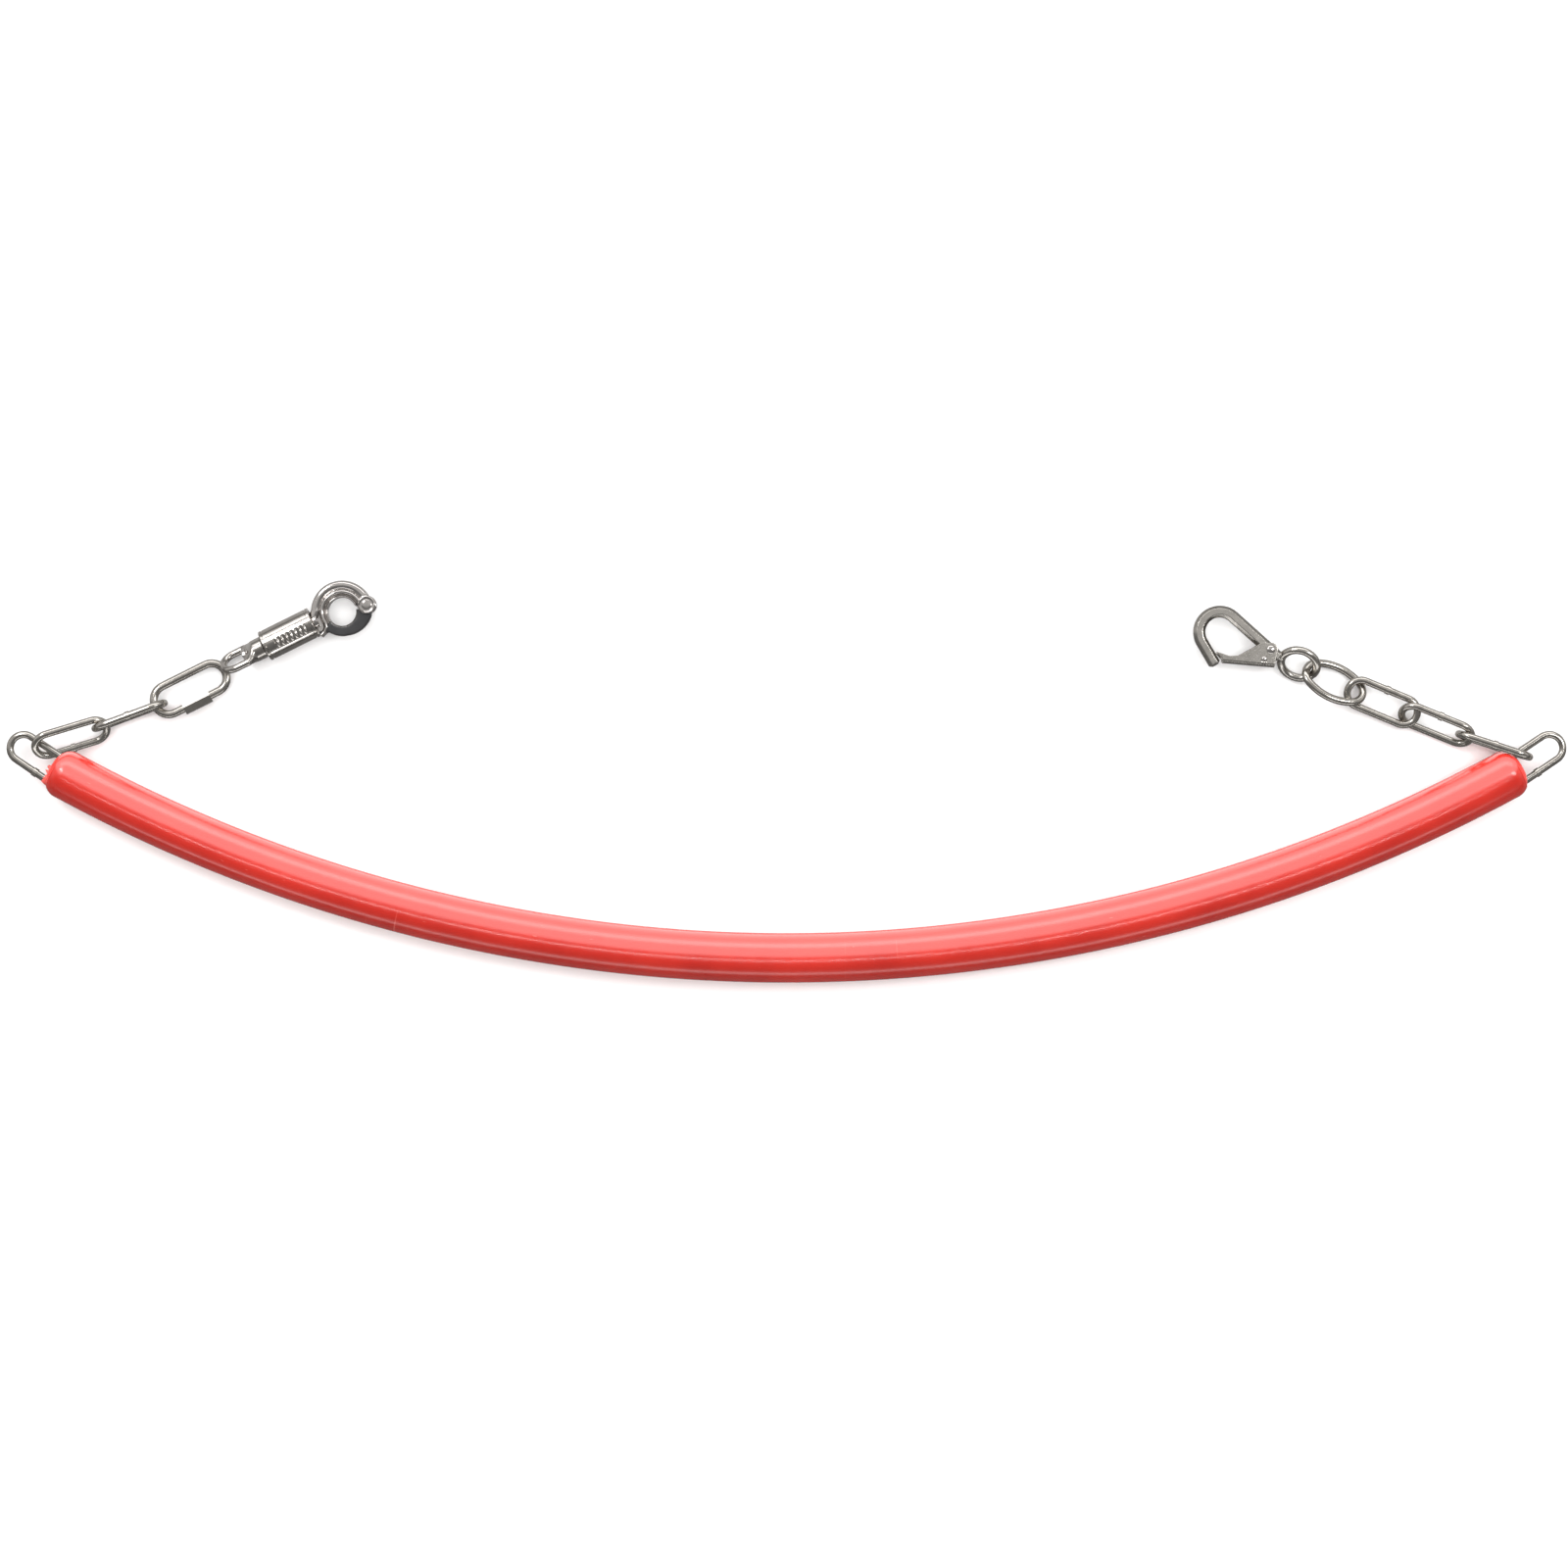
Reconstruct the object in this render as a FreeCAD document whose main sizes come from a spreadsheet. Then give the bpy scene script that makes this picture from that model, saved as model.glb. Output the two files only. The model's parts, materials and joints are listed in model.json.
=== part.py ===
import FreeCAD, Part
import math
import os

from FreeCAD import Placement, Rotation, Vector

# A sleeved barrier chain laid on the floor in a shallow bow.  A welded chain runs through a
# flexible hose.  Its left end carries a quick link and a quick-release panic snap, its right
# end an oval ring and a spring snap hook.  Millimetres and degrees, +Z up, floor at Z = 0.
# The design frame has its zero at the hose's lowest point; the last step moves everything so
# that the origin lies under the middle of the whole chain.

doc = FreeCAD.newDocument("sleeved_barrier_chain")

SIZES = {
    # hose
    "hose_diameter": 30.0,
    "hose_wall": 2.5,
    "end_rounding": 10.0,
    "plug_end_clearance": 1.0,
    "plug_fit": 0.05,
    "slot_clearance": 0.7,
    # chain link: round wire bent to a long oval, with a butt weld in the middle of one strand
    "link_length": 49.0,
    "link_width": 21.0,
    "link_wire": 4.5,
    "weld_diameter": 5.4,
    "weld_length": 2.6,
    "link_play": 0.6,
    "end_link_reach": 31.0,
    "end_link_swing": 5.0,
    # quick link
    "quick_length": 52.0,
    "quick_width": 23.0,
    "quick_wire": 5.0,
    "quick_gap": 5.4,
    "nut_length": 17.6,
    "nut_flats": 8.0,
    "nut_fit": 0.05,
    # panic snap, measured along its axis from the tip of the eye
    "eye_width": 20.6,
    "eye_wire": 4.6,
    "eye_loop_length": 19.5,
    "boss_diameter": 11.4,
    "base_length": 3.4,
    "boss_length": 10.2,
    "neck_diameter": 6.4,
    "neck_fit": 0.06,
    "head_diameter": 8.6,
    "head_thickness": 2.4,
    "shank_diameter": 9.5,
    "collar_start": 30.3,
    "collar_length": 33.1,
    "collar_diameter": 18.8,
    "collar_bore": 15.2,
    "collar_ring": 3.0,
    "collar_mouth": 8.4,
    "collar_fit": 0.08,
    "collar_travel": 7.0,
    "grip_rib_height": 0.7,
    "grip_rib_pitch": 3.0,
    "retainer_diameter": 13.6,
    "retainer_thickness": 2.0,
    "coil_wire": 1.2,
    "coil_diameter": 12.0,
    "coil_turns": 5.0,
    "ring_from_eye": 81.8,
    "ring_offset": 2.2,
    "ring_hole_diameter": 17.2,
    "arm_diameter": 38.0,
    "arm_thickness": 9.0,
    "arm_step_diameter": 25.6,
    "arm_step_depth": 3.0,
    "jaw_diameter": 29.6,
    "jaw_thickness": 6.4,
    "knuckle_thickness": 5.0,
    "knuckle_diameter": 8.4,
    "jaw_clearance": 0.4,
    "jaw_pin_diameter": 4.0,
    "jaw_pin_fit": 0.05,
    "nose_diameter": 10.8,
    # oval ring
    "oval_length": 42.5,
    "oval_width": 27.6,
    "oval_wire": 4.8,
    "oval_end_radius": 8.6,
    # snap hook
    "hook_eye_diameter": 27.0,
    "hook_eye_wire": 5.0,
    "bow_from_eye": 51.9,
    "bow_radius": 12.4,
    "bar_width": 7.2,
    "bar_thickness": 7.0,
    "bar_bevel": 1.8,
    "back_bar_angle": 20.0,
    "back_bar_length": 37.0,
    "nose_angle": 37.8,
    "nose_length": 15.0,
    "gate_sheet": 1.2,
    "gate_clearance": 0.4,
    "gate_depth": 4.6,
    "gate_pivot_along": 29.9,
    "gate_spring_drop": 6.9,
    "rivet_diameter": 3.0,
    "rivet_fit": 0.05,
    "rivet_head_diameter": 4.6,
    "rivet_head_height": 0.8,
    "spring_rivet_diameter": 2.2,
    "spring_wire": 0.7,
    "spring_coil_diameter": 3.8,
}

sheet = doc.addObject("Spreadsheet::Sheet", "Sizes")
for row, (alias, value) in enumerate(SIZES.items(), start=1):
    sheet.set(f"A{row}", alias)
    sheet.set(f"B{row}", str(value))
    sheet.setAlias(f"B{row}", alias)
doc.recompute()


def size(alias):
    return float(sheet.get(alias))


parts = []


def bound(kind, name, at=(0, 0, 0), turn=Rotation(), **sizes):
    """One Part primitive whose sizes follow the sheet."""
    piece = doc.addObject(kind, name)
    for prop, formula in sizes.items():
        piece.setExpression(prop, formula)
    piece.Placement = Placement(Vector(*at), turn)
    return piece


def fused(name, pieces):
    whole = doc.addObject("Part::MultiFuse", name)
    whole.Shapes = pieces
    return whole


def cut(name, base, tool):
    whole = doc.addObject("Part::Cut", name)
    whole.Base = base
    whole.Tool = tool
    return whole


def shaped(name, shape):
    piece = doc.addObject("Part::Feature", name)
    piece.Shape = shape
    return piece


def node(piece, label, placement=Placement()):
    """Name a finished piece, put it in its place and list it for writing."""
    piece.Label = label
    piece.Placement = placement
    parts.append(piece)
    return piece


ALONG_X = Rotation(Vector(0, 1, 0), 90)
AXIS_X = Vector(1, 0, 0)
AXIS_Z = Vector(0, 0, 1)
OVERCUT = 1  # how far a cutting tool reaches past the face it cuts


def heading(yaw, pitch=0.0, roll=0.0):
    """Long axis turned by yaw on the floor, raised by pitch, then rolled about itself."""
    return Rotation(yaw, -pitch, roll)


# --- hose ----------------------------------------------------------------------------------

HOSE_ROUTE = [
    (-445.3, 115.7),
    (-394.4, 87.3),
    (-286.4, 44.0),
    (-173.7, 14.8),
    (-58.2, 0.0),
    (58.2, 0.0),
    (173.7, 14.8),
    (286.4, 44.0),
    (394.4, 87.3),
    (445.3, 115.7),
]
ARC_SHARE = 0.45


def route_wire():
    """Straight runs joined by tangent arcs, each as large as its two runs allow."""
    height = size("hose_diameter") / 2
    points = [Vector(x, y, height) for x, y in HOSE_ROUTE]
    edges = []
    start = points[0]
    for before, corner, after in zip(points, points[1:], points[2:]):
        back = (before - corner).normalize()
        ahead = (after - corner).normalize()
        reach = ARC_SHARE * min((before - corner).Length, (after - corner).Length)
        half_turn = (math.pi - back.getAngle(ahead)) / 2
        radius = reach / math.tan(half_turn)
        first = corner + back * reach
        last = corner + ahead * reach
        inward = (back + ahead).normalize()
        middle = corner + inward * (radius / math.cos(half_turn) - radius)
        print(f"hose arc radius {radius:.0f} mm")
        edges.append(Part.LineSegment(start, first).toShape())
        edges.append(Part.Arc(first, middle, last).toShape())
        start = last
    edges.append(Part.LineSegment(start, points[-1]).toShape())
    return Part.Wire(edges)


def place_on(wire, distance):
    """The point and direction at a distance along the wire, or past its ends in line."""
    first, last = wire.Edges[0], wire.Edges[-1]
    if distance <= 0:
        ahead = first.tangentAt(first.FirstParameter)
        return first.valueAt(first.FirstParameter) + ahead * distance, ahead
    for edge in wire.Edges:
        if distance <= edge.Length:
            at = edge.getParameterByLength(distance)
            return edge.valueAt(at), edge.tangentAt(at)
        distance -= edge.Length
    ahead = last.tangentAt(last.LastParameter)
    return last.valueAt(last.LastParameter) + ahead * distance, ahead


def rod_along(wire, radius):
    start, ahead = place_on(wire, 0)
    circle = Part.Wire([Part.Circle(start, ahead, radius).toShape()])
    rod = wire.makePipeShell([circle], True, True)
    fault = abs(rod.Volume / (math.pi * radius**2 * wire.Length) - 1)
    if fault > 0.001:
        raise RuntimeError(f"the rod's volume is off by {fault:.4f}")
    return rod


def end_edges(rod, wire):
    ends = [place_on(wire, 0)[0], place_on(wire, wire.Length)[0]]
    reach = size("hose_diameter")
    return [
        edge
        for edge in rod.Edges
        if edge.Closed and min((edge.CenterOfMass - end).Length for end in ends) < reach / 30
    ]


def domed_rod(wire):
    rod = rod_along(wire, size("hose_diameter") / 2)
    return rod.makeFillet(size("end_rounding"), end_edges(rod, wire))


def end_frame(wire, left):
    """The hose's end: X points out of it."""
    point, ahead = place_on(wire, 0 if left else wire.Length)
    outward = ahead * -1 if left else ahead
    return Placement(point, Rotation(Vector(1, 0, 0), outward))


def make_hose(wire, dome):
    bore = rod_along(wire, size("hose_diameter") / 2 - size("hose_wall"))
    node(shaped("HoseBody", dome.cut(bore)), "hose")


def plug_depth():
    """The plug stops short of the first hidden link."""
    overlap = 2 * size("link_wire") + size("link_play")
    hidden = size("link_length") - size("end_link_reach")
    return hidden - overlap - size("plug_end_clearance")


def make_plug(wire, dome, left):
    """A moulded end plug that fills the bore and carries on the hose's rounding."""
    side = "left" if left else "right"
    depth = plug_depth()
    radius = size("hose_diameter") / 2 - size("hose_wall") - size("plug_fit")
    core = Part.makeCylinder(radius, depth + OVERCUT, Vector(-depth, 0, 0), AXIS_X)
    play = size("slot_clearance")
    swing = math.sin(math.radians(size("end_link_swing"))) * depth
    wide = size("link_width") + play + swing
    high = size("link_wire") + 2 * play
    corner = Vector(-depth - OVERCUT, -wide / 2, -high / 2)
    slot = Part.makeBox(depth + 4 * OVERCUT, wide, high, corner)
    plug = core.cut(slot)
    plug.Placement = end_frame(wire, left)
    node(shaped(f"Plug_{side}", dome.common(plug)), f"{side}_end_plug")


# --- chain ---------------------------------------------------------------------------------

LAID_SWING = 0.95  # the end links rest this share of their full swing above the hose's line


def bent_link(name, length, width, wire, weld=None, weld_side=-1):
    """A long closed link lying in XY: two half rings and two straight strands."""
    ends = [
        bound(
            "Part::Torus",
            f"{name}_bend_{i}",
            (sign * (size(length) - size(width)) / 2, 0, 0),
            Rotation(AXIS_Z, turn),
            Radius1=f"(Sizes.{width} - Sizes.{wire}) / 2",
            Radius2=f"Sizes.{wire} / 2",
            Angle3="180 deg",
        )
        for i, (sign, turn) in enumerate(((1, -90), (-1, 90)))
    ]
    strands = [
        bound(
            "Part::Cylinder",
            f"{name}_strand_{i}",
            (-(size(length) - size(width)) / 2, side * (size(width) - size(wire)) / 2, 0),
            ALONG_X,
            Radius=f"Sizes.{wire} / 2",
            Height=f"Sizes.{length} - Sizes.{width}",
        )
        for i, side in enumerate((1, -1))
    ]
    pieces = ends + strands
    if weld:
        at = (-size("weld_length") / 2, weld_side * (size(width) - size(wire)) / 2, 0)
        bead = bound(
            "Part::Cylinder",
            f"{name}_weld",
            at,
            ALONG_X,
            Radius=f"Sizes.{weld} / 2",
            Height="Sizes.weld_length",
        )
        pieces.append(bead)
    return fused(name, pieces)


def chain_link(name, weld_side=-1):
    return bent_link(name, "link_length", "link_width", "link_wire", "weld_diameter", weld_side)


def make_end_link(wire, left):
    """The link that comes out of the hose, swung a little upwards from the hose's line."""
    side = "left" if left else "right"
    end = end_frame(wire, left)
    swing = -size("end_link_swing") if left else size("end_link_swing")
    yaw = math.degrees(math.atan2(*reversed(tuple(end.Rotation.multVec(Vector(1, 0, 0)))[:2])))
    turn = heading(yaw + swing * LAID_SWING)
    shift = size("end_link_reach") - size("link_length") / 2
    centre = end.Base + turn.multVec(Vector(shift, 0, 0))
    link = chain_link(f"EndLink_{side}", 1 if left else -1)
    return node(link, f"{side}_end_link", Placement(centre, turn))


def make_inner_chain(wire):
    """Hidden links between the two end links, each a quarter turn from its neighbours."""
    past = size("end_link_reach") - size("link_length") / 2
    start, total = -past, wire.Length + 2 * past
    longest_pitch = size("link_length") - 2 * size("link_wire") - size("link_play")
    pitches = 2 * math.ceil(total / longest_pitch / 2)
    for i in range(1, pitches):
        point, ahead = place_on(wire, start + total * i / pitches)
        yaw = math.degrees(math.atan2(ahead.y, ahead.x))
        link = chain_link(f"InnerLink_{i:02d}", 1 if i % 4 < 2 else -1)
        node(link, f"inner_link_{i:02d}", Placement(point, heading(yaw, 0, 90 * (i % 2))))
    print(f"{pitches - 1} inner links at {total / pitches:.2f} mm")


# --- quick link ----------------------------------------------------------------------------


def make_quick_link(place):
    """A bent wire link with a gap in one strand, closed by a long hex nut."""
    wire = size("quick_wire")
    lower = -(size("quick_width") - wire) / 2
    ring = bent_link("QuickRing", "quick_length", "quick_width", "quick_wire")
    gap_start = size("nut_length") / 2 - size("quick_gap")
    opening = bound(
        "Part::Box",
        "QuickOpening",
        (gap_start, lower - wire, -wire),
        Length="Sizes.quick_gap",
        Width="Sizes.quick_wire * 2",
        Height="Sizes.quick_wire * 2",
    )
    node(cut("QuickWire", ring, opening), "quick_link", place)
    at = (-size("nut_length") / 2, lower, 0)
    barrel = bound(
        "Part::Prism",
        "NutBlank",
        at,
        ALONG_X,
        Polygon="6",
        Circumradius="Sizes.nut_flats / 2 / cos(30)",
        Height="Sizes.nut_length",
    )
    bore = bound(
        "Part::Cylinder",
        "NutBore",
        (at[0] - OVERCUT, at[1], at[2]),
        ALONG_X,
        Radius="Sizes.quick_wire / 2 + Sizes.nut_fit",
        Height=f"Sizes.nut_length + {2 * OVERCUT}",
    )
    node(cut("Nut", barrel, bore), "quick_link_nut", place)


# --- panic snap: its axis is X, the eye's tip is at zero, the ring's hole runs along Z -------

# angles about the ring's centre, in degrees from the snap's axis
ARM_FROM, ARM_TO = -4, 196
RIM_FROM, RIM_TO = 12, 178
BRIDGE_TO = 14
JAW_FROM, JAW_TO = 198, 346
TONGUE_FROM, TONGUE_TO = 316, 344
PIVOT_LEAN = -11
# laps and gaps between the forged pieces
EYE_LAP = 1.2
STEP_LAP = 0.5
SHANK_LAP = 3.0
HOLE_INSET = 1.0
BRIDGE_INSET = 1.2
PIVOT_OUTSET = 1.8
KNUCKLE_PLAY = 0.8
SIDE_PLAY = 0.3
HEAD_GAP = 1.5
ROOT_RISE, ROOT_DROP = 3.0, 2.6
TAIL_WIDTH, TAIL_DROP, TAIL_REACH = 2.6, 7.6, 3.5
PIN_PROUD = 0.4
RIB_COUNT, RIB_SHIFT = 6, 1.0
RETAINER_INSET = 0.4
COIL_GAP = 0.1


def turned(name, start, length, diameter):
    """A round piece along the snap's axis; the arguments after the start are formulas."""
    return bound(
        "Part::Cylinder", name, (start, 0, 0), ALONG_X, Radius=f"({diameter}) / 2", Height=length
    )


def make_swivel_eye(place):
    bend = (size("eye_width") - size("eye_wire")) / 2
    centre = bend + size("eye_wire") / 2
    loop = bound(
        "Part::Torus",
        "EyeLoop",
        (centre, 0, 0),
        Rotation(AXIS_Z, 90),
        Radius1="(Sizes.eye_width - Sizes.eye_wire) / 2",
        Radius2="Sizes.eye_wire / 2",
        Angle3="180 deg",
    )
    legs = [
        bound(
            "Part::Cylinder",
            f"EyeLeg_{i}",
            (centre, side * bend, 0),
            ALONG_X,
            Radius="Sizes.eye_wire / 2",
            Height="Sizes.eye_loop_length - Sizes.eye_width / 2",
        )
        for i, side in enumerate((1, -1))
    ]
    base = bound(
        "Part::Box",
        "EyeBase",
        (size("eye_loop_length") - EYE_LAP, -size("eye_width") / 2, -size("eye_wire") / 2),
        Length=f"Sizes.base_length + {EYE_LAP}",
        Width="Sizes.eye_width",
        Height="Sizes.eye_wire",
    )
    blank = fused("EyeBlank", [loop, *legs, base])
    node(cut("SwivelEye", blank, neck_bore("Eye")), "panic_snap_eye", place)


def neck_bore(name):
    """The round hole in the eye's base and boss that the body's neck turns in."""
    return turned(
        f"{name}Bore",
        size("eye_loop_length") - 3 * OVERCUT,
        f"Sizes.boss_length + {6 * OVERCUT}",
        "Sizes.neck_diameter + 2 * Sizes.neck_fit",
    )


def make_boss(place):
    """The round boss on the eye's base, which the collar slides back over."""
    start = size("eye_loop_length") + size("base_length")
    boss = turned("BossBlank", start, "Sizes.boss_length - Sizes.base_length", "Sizes.boss_diameter")
    node(cut("Boss", boss, neck_bore("Boss")), "panic_snap_boss", place)


def ring_sector(inner, outer, start, end, height, base):
    """A flat sector of a ring about the hole's centre, between two angles."""
    a, b = math.radians(start), math.radians(end)
    m = (a + b) / 2

    def at(radius, angle):
        return Vector(radius * math.cos(angle), radius * math.sin(angle), base)

    edges = [
        Part.Arc(at(outer, a), at(outer, m), at(outer, b)).toShape(),
        Part.LineSegment(at(outer, b), at(inner, b)).toShape(),
        Part.Arc(at(inner, b), at(inner, m), at(inner, a)).toShape(),
        Part.LineSegment(at(inner, a), at(outer, a)).toShape(),
    ]
    return Part.Face(Part.Wire(edges)).extrude(Vector(0, 0, height))


def ring_centre():
    return Vector(size("ring_from_eye"), -size("ring_offset"), 0)


def jaw_pivot():
    """The jaw's pin, measured from the ring's centre."""
    reach = (size("ring_hole_diameter") + size("arm_diameter")) / 4 + PIVOT_OUTSET
    lean = math.radians(PIVOT_LEAN)
    return Vector(reach * math.cos(lean), reach * math.sin(lean), 0)


def disc(centre, diameter, height):
    return Part.makeCylinder(diameter / 2, height, centre + Vector(0, 0, -height / 2), AXIS_Z)


def rod_on_axis(diameter, start, length):
    return Part.makeCylinder(size(diameter) / 2, length, Vector(start, 0, 0), AXIS_X)


def make_snap_body(place):
    """Shank and fixed arm in one piece: head, neck, shank, and the arm round the ring."""
    hole = size("ring_hole_diameter") / 2
    outer = size("arm_diameter") / 2
    thick = size("arm_thickness")
    step = size("arm_step_diameter") / 2
    drop = size("arm_step_depth")
    pivot = jaw_pivot()
    low = ring_sector(hole, step + STEP_LAP, ARM_FROM, ARM_TO, thick - drop, -thick / 2)
    high = ring_sector(step, outer, RIM_FROM, RIM_TO, thick, -thick / 2)
    nose = disc(pivot, size("nose_diameter"), thick)
    bridge = ring_sector(step, outer - BRIDGE_INSET, ARM_FROM, BRIDGE_TO, thick, -thick / 2)
    arm = low.fuse([high, nose, bridge])
    slot_height = size("knuckle_thickness") + 2 * SIDE_PLAY
    slot = disc(pivot, size("nose_diameter") + 2 * KNUCKLE_PLAY, slot_height)
    pin = disc(pivot, size("jaw_pin_diameter"), thick + 2 * OVERCUT)
    arm = arm.cut(slot).cut(pin)
    arm.translate(ring_centre())
    mouth = size("collar_start") + size("collar_length")
    root_end = size("ring_from_eye") - hole - HOLE_INSET
    root = Part.makeBox(
        root_end - mouth - size("jaw_clearance"),
        size("collar_diameter") / 2 + ROOT_RISE,
        thick,
        Vector(mouth + size("jaw_clearance"), -ROOT_DROP, -thick / 2),
    )
    root = root.cut(disc(ring_centre(), 2 * hole, thick + 2 * OVERCUT))
    neck_from = size("eye_loop_length") - size("head_thickness") - HEAD_GAP
    shank_from = size("eye_loop_length") + size("boss_length") + SIDE_PLAY
    shank_length = mouth + SHANK_LAP - shank_from
    head = rod_on_axis("head_diameter", neck_from, size("head_thickness"))
    neck = rod_on_axis("neck_diameter", neck_from, shank_from - neck_from)
    shank = rod_on_axis("shank_diameter", shank_from, shank_length)
    body = shank.fuse([neck, head, root, arm]).removeSplitter()
    node(shaped("SnapBody", body), "panic_snap_body", place)


def make_jaw(place):
    hole = size("ring_hole_diameter") / 2
    outer = size("jaw_diameter") / 2
    thick = size("jaw_thickness")
    thin = size("knuckle_thickness")
    clear = size("jaw_clearance")
    pivot = jaw_pivot()
    jaw = ring_sector(hole, outer, JAW_FROM, JAW_TO, thick, -thick / 2)
    room = disc(pivot, size("nose_diameter") + 2 * clear + KNUCKLE_PLAY, thick + 2 * OVERCUT)
    jaw = jaw.cut(room)
    tongue = ring_sector(hole + HOLE_INSET, outer - clear, TONGUE_FROM, TONGUE_TO, thin, -thin / 2)
    knuckle = disc(pivot, size("knuckle_diameter"), thin)
    jaw = jaw.fuse([tongue, knuckle])
    tail_start = size("collar_start") + size("collar_length") + clear
    tail = Part.makeBox(
        size("ring_from_eye") - outer + TAIL_REACH - tail_start,
        TAIL_WIDTH,
        thin,
        Vector(tail_start - size("ring_from_eye"), -TAIL_DROP, -thin / 2),
    )
    tall = thick + 2 * OVERCUT
    jaw = jaw.fuse(tail).cut(disc(Vector(), 2 * hole, tall))
    jaw = jaw.cut(disc(pivot, size("jaw_pin_diameter") + 2 * size("jaw_pin_fit"), tall))
    jaw.translate(ring_centre())
    node(shaped("Jaw", jaw.removeSplitter()), "panic_snap_jaw", place)


def make_jaw_pin(place):
    length = size("arm_thickness") + 2 * PIN_PROUD
    pin = disc(jaw_pivot() + ring_centre(), size("jaw_pin_diameter"), length)
    node(shaped("JawPin", pin), "panic_snap_jaw_pin", place)


def make_collar(place):
    """The sliding collar: a tube with grip ribs, and a ring in it that rides on the shank."""
    start, length = size("collar_start"), size("collar_length")
    tube = turned("CollarTube", start, "Sizes.collar_length", "Sizes.collar_diameter")
    through = f"Sizes.collar_length + {2 * OVERCUT}"
    bore = turned("CollarBore", start - OVERCUT, through, "Sizes.collar_bore")
    first_rib = start + length / 2 - (RIB_COUNT - 1) / 2 * size("grip_rib_pitch") - RIB_SHIFT
    ribs = [
        bound(
            "Part::Torus",
            f"GripRib_{i}",
            (first_rib + i * size("grip_rib_pitch"), 0, 0),
            ALONG_X,
            Radius1="(Sizes.collar_diameter - Sizes.grip_rib_height) / 2",
            Radius2="Sizes.grip_rib_height",
        )
        for i in range(RIB_COUNT)
    ]
    node(cut("Collar", fused("CollarOutside", [tube, *ribs]), bore), "panic_snap_collar", place)
    at = start + length - size("collar_mouth") - size("collar_ring")
    blank = turned("CollarRingBlank", at, "Sizes.collar_ring", "Sizes.collar_bore")
    hole = turned(
        "CollarRingBore",
        at - OVERCUT,
        f"Sizes.collar_ring + {2 * OVERCUT}",
        "Sizes.shank_diameter + 2 * Sizes.collar_fit",
    )
    node(cut("CollarRing", blank, hole), "panic_snap_collar_ring", place)


def make_retainer(place):
    """The ring pressed on the shank that the coil spring pushes against."""
    start = size("collar_start") + RETAINER_INSET
    ring = turned("RetainerRing", start, "Sizes.retainer_thickness", "Sizes.retainer_diameter")
    through = f"Sizes.retainer_thickness + {2 * OVERCUT}"
    bore = turned("RetainerBore", start - OVERCUT, through, "Sizes.shank_diameter")
    node(cut("Retainer", ring, bore), "panic_snap_retainer", place)


def coil_solid(pitch, run, diameter, wire):
    """A round wire wound about Z from the origin up."""
    helix = Part.makeHelix(pitch, run, diameter / 2)
    start = Part.Circle(Vector(diameter / 2, 0, 0), Vector(0, 1, 0), wire / 2)
    return Part.Wire(helix.Edges).makePipeShell([Part.Wire([start.toShape()])], True, True)


def make_collar_spring(place):
    wire = size("coil_wire")
    seat = size("collar_start") + RETAINER_INSET + size("retainer_thickness") + wire / 2 + COIL_GAP
    stop = size("collar_start") + size("collar_length") - size("collar_mouth") - size("collar_ring")
    run = stop - wire / 2 - COIL_GAP - seat
    coil = coil_solid(run / size("coil_turns"), run, size("coil_diameter"), wire)
    along = Placement(Vector(seat, 0, 0), ALONG_X)
    node(shaped("CollarSpring", coil), "panic_snap_spring", place.multiply(along))


# --- oval ring -------------------------------------------------------------------------------


def make_oval_ring(place):
    """Round wire bent to an oval of two end arcs and two flatter side arcs."""
    wire = size("oval_wire")
    half_long = (size("oval_length") - wire) / 2
    half_wide = (size("oval_width") - wire) / 2
    end = size("oval_end_radius")
    inset = half_long - end
    side = (half_wide**2 + inset**2 - end**2) / (2 * (half_wide - end))
    lean = math.atan2(side - half_wide, inset)
    join = Vector(inset + end * math.cos(lean), end * math.sin(lean), 0)

    def mirrored(x, y):
        return Vector(join.x * x, join.y * y, 0)

    path = [
        Part.Arc(mirrored(1, -1), Vector(half_long, 0, 0), mirrored(1, 1)).toShape(),
        Part.Arc(mirrored(1, 1), Vector(0, half_wide, 0), mirrored(-1, 1)).toShape(),
        Part.Arc(mirrored(-1, 1), Vector(-half_long, 0, 0), mirrored(-1, -1)).toShape(),
        Part.Arc(mirrored(-1, -1), Vector(0, -half_wide, 0), mirrored(1, -1)).toShape(),
    ]
    ahead = path[0].tangentAt(path[0].FirstParameter)
    section = Part.Wire([Part.Circle(mirrored(1, -1), ahead, wire / 2).toShape()])
    ring = Part.Wire(path).makePipeShell([section], True, True)
    node(shaped("OvalRing", ring), "oval_ring", place)


# --- snap hook: the eye's centre is at zero, the bow lies ahead along X -----------------------

HOOK_NECK_LENGTH = 6
HOOK_NECK_SWELL = 0.3
HOOK_NECK_SINK = 0.5
PRESS_FIT = 0.02
# the gate's cheek: where its heel and its flare lie, measured from the pivot
GATE_HEEL = (-6.2, 9.2)
GATE_FLARE = [(-4.2, 0), (0, -4.2), (5.6, -2.6), (9.0, 2.0)]
GATE_PAST_NOSE = 2
GATE_NOSE_SLANT = 1.75
GATE_WAIST_SHARE = 0.32
GATE_WAIST_SWELL = 1.6
SPRING_PIN_AHEAD = 1.6
SPRING_PIN_SWELL = 1.2
RIVET_HEAD_GAP = 0.05
SPRING_TURNS = 4
SPRING_TURN_GAP = 0.15


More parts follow.
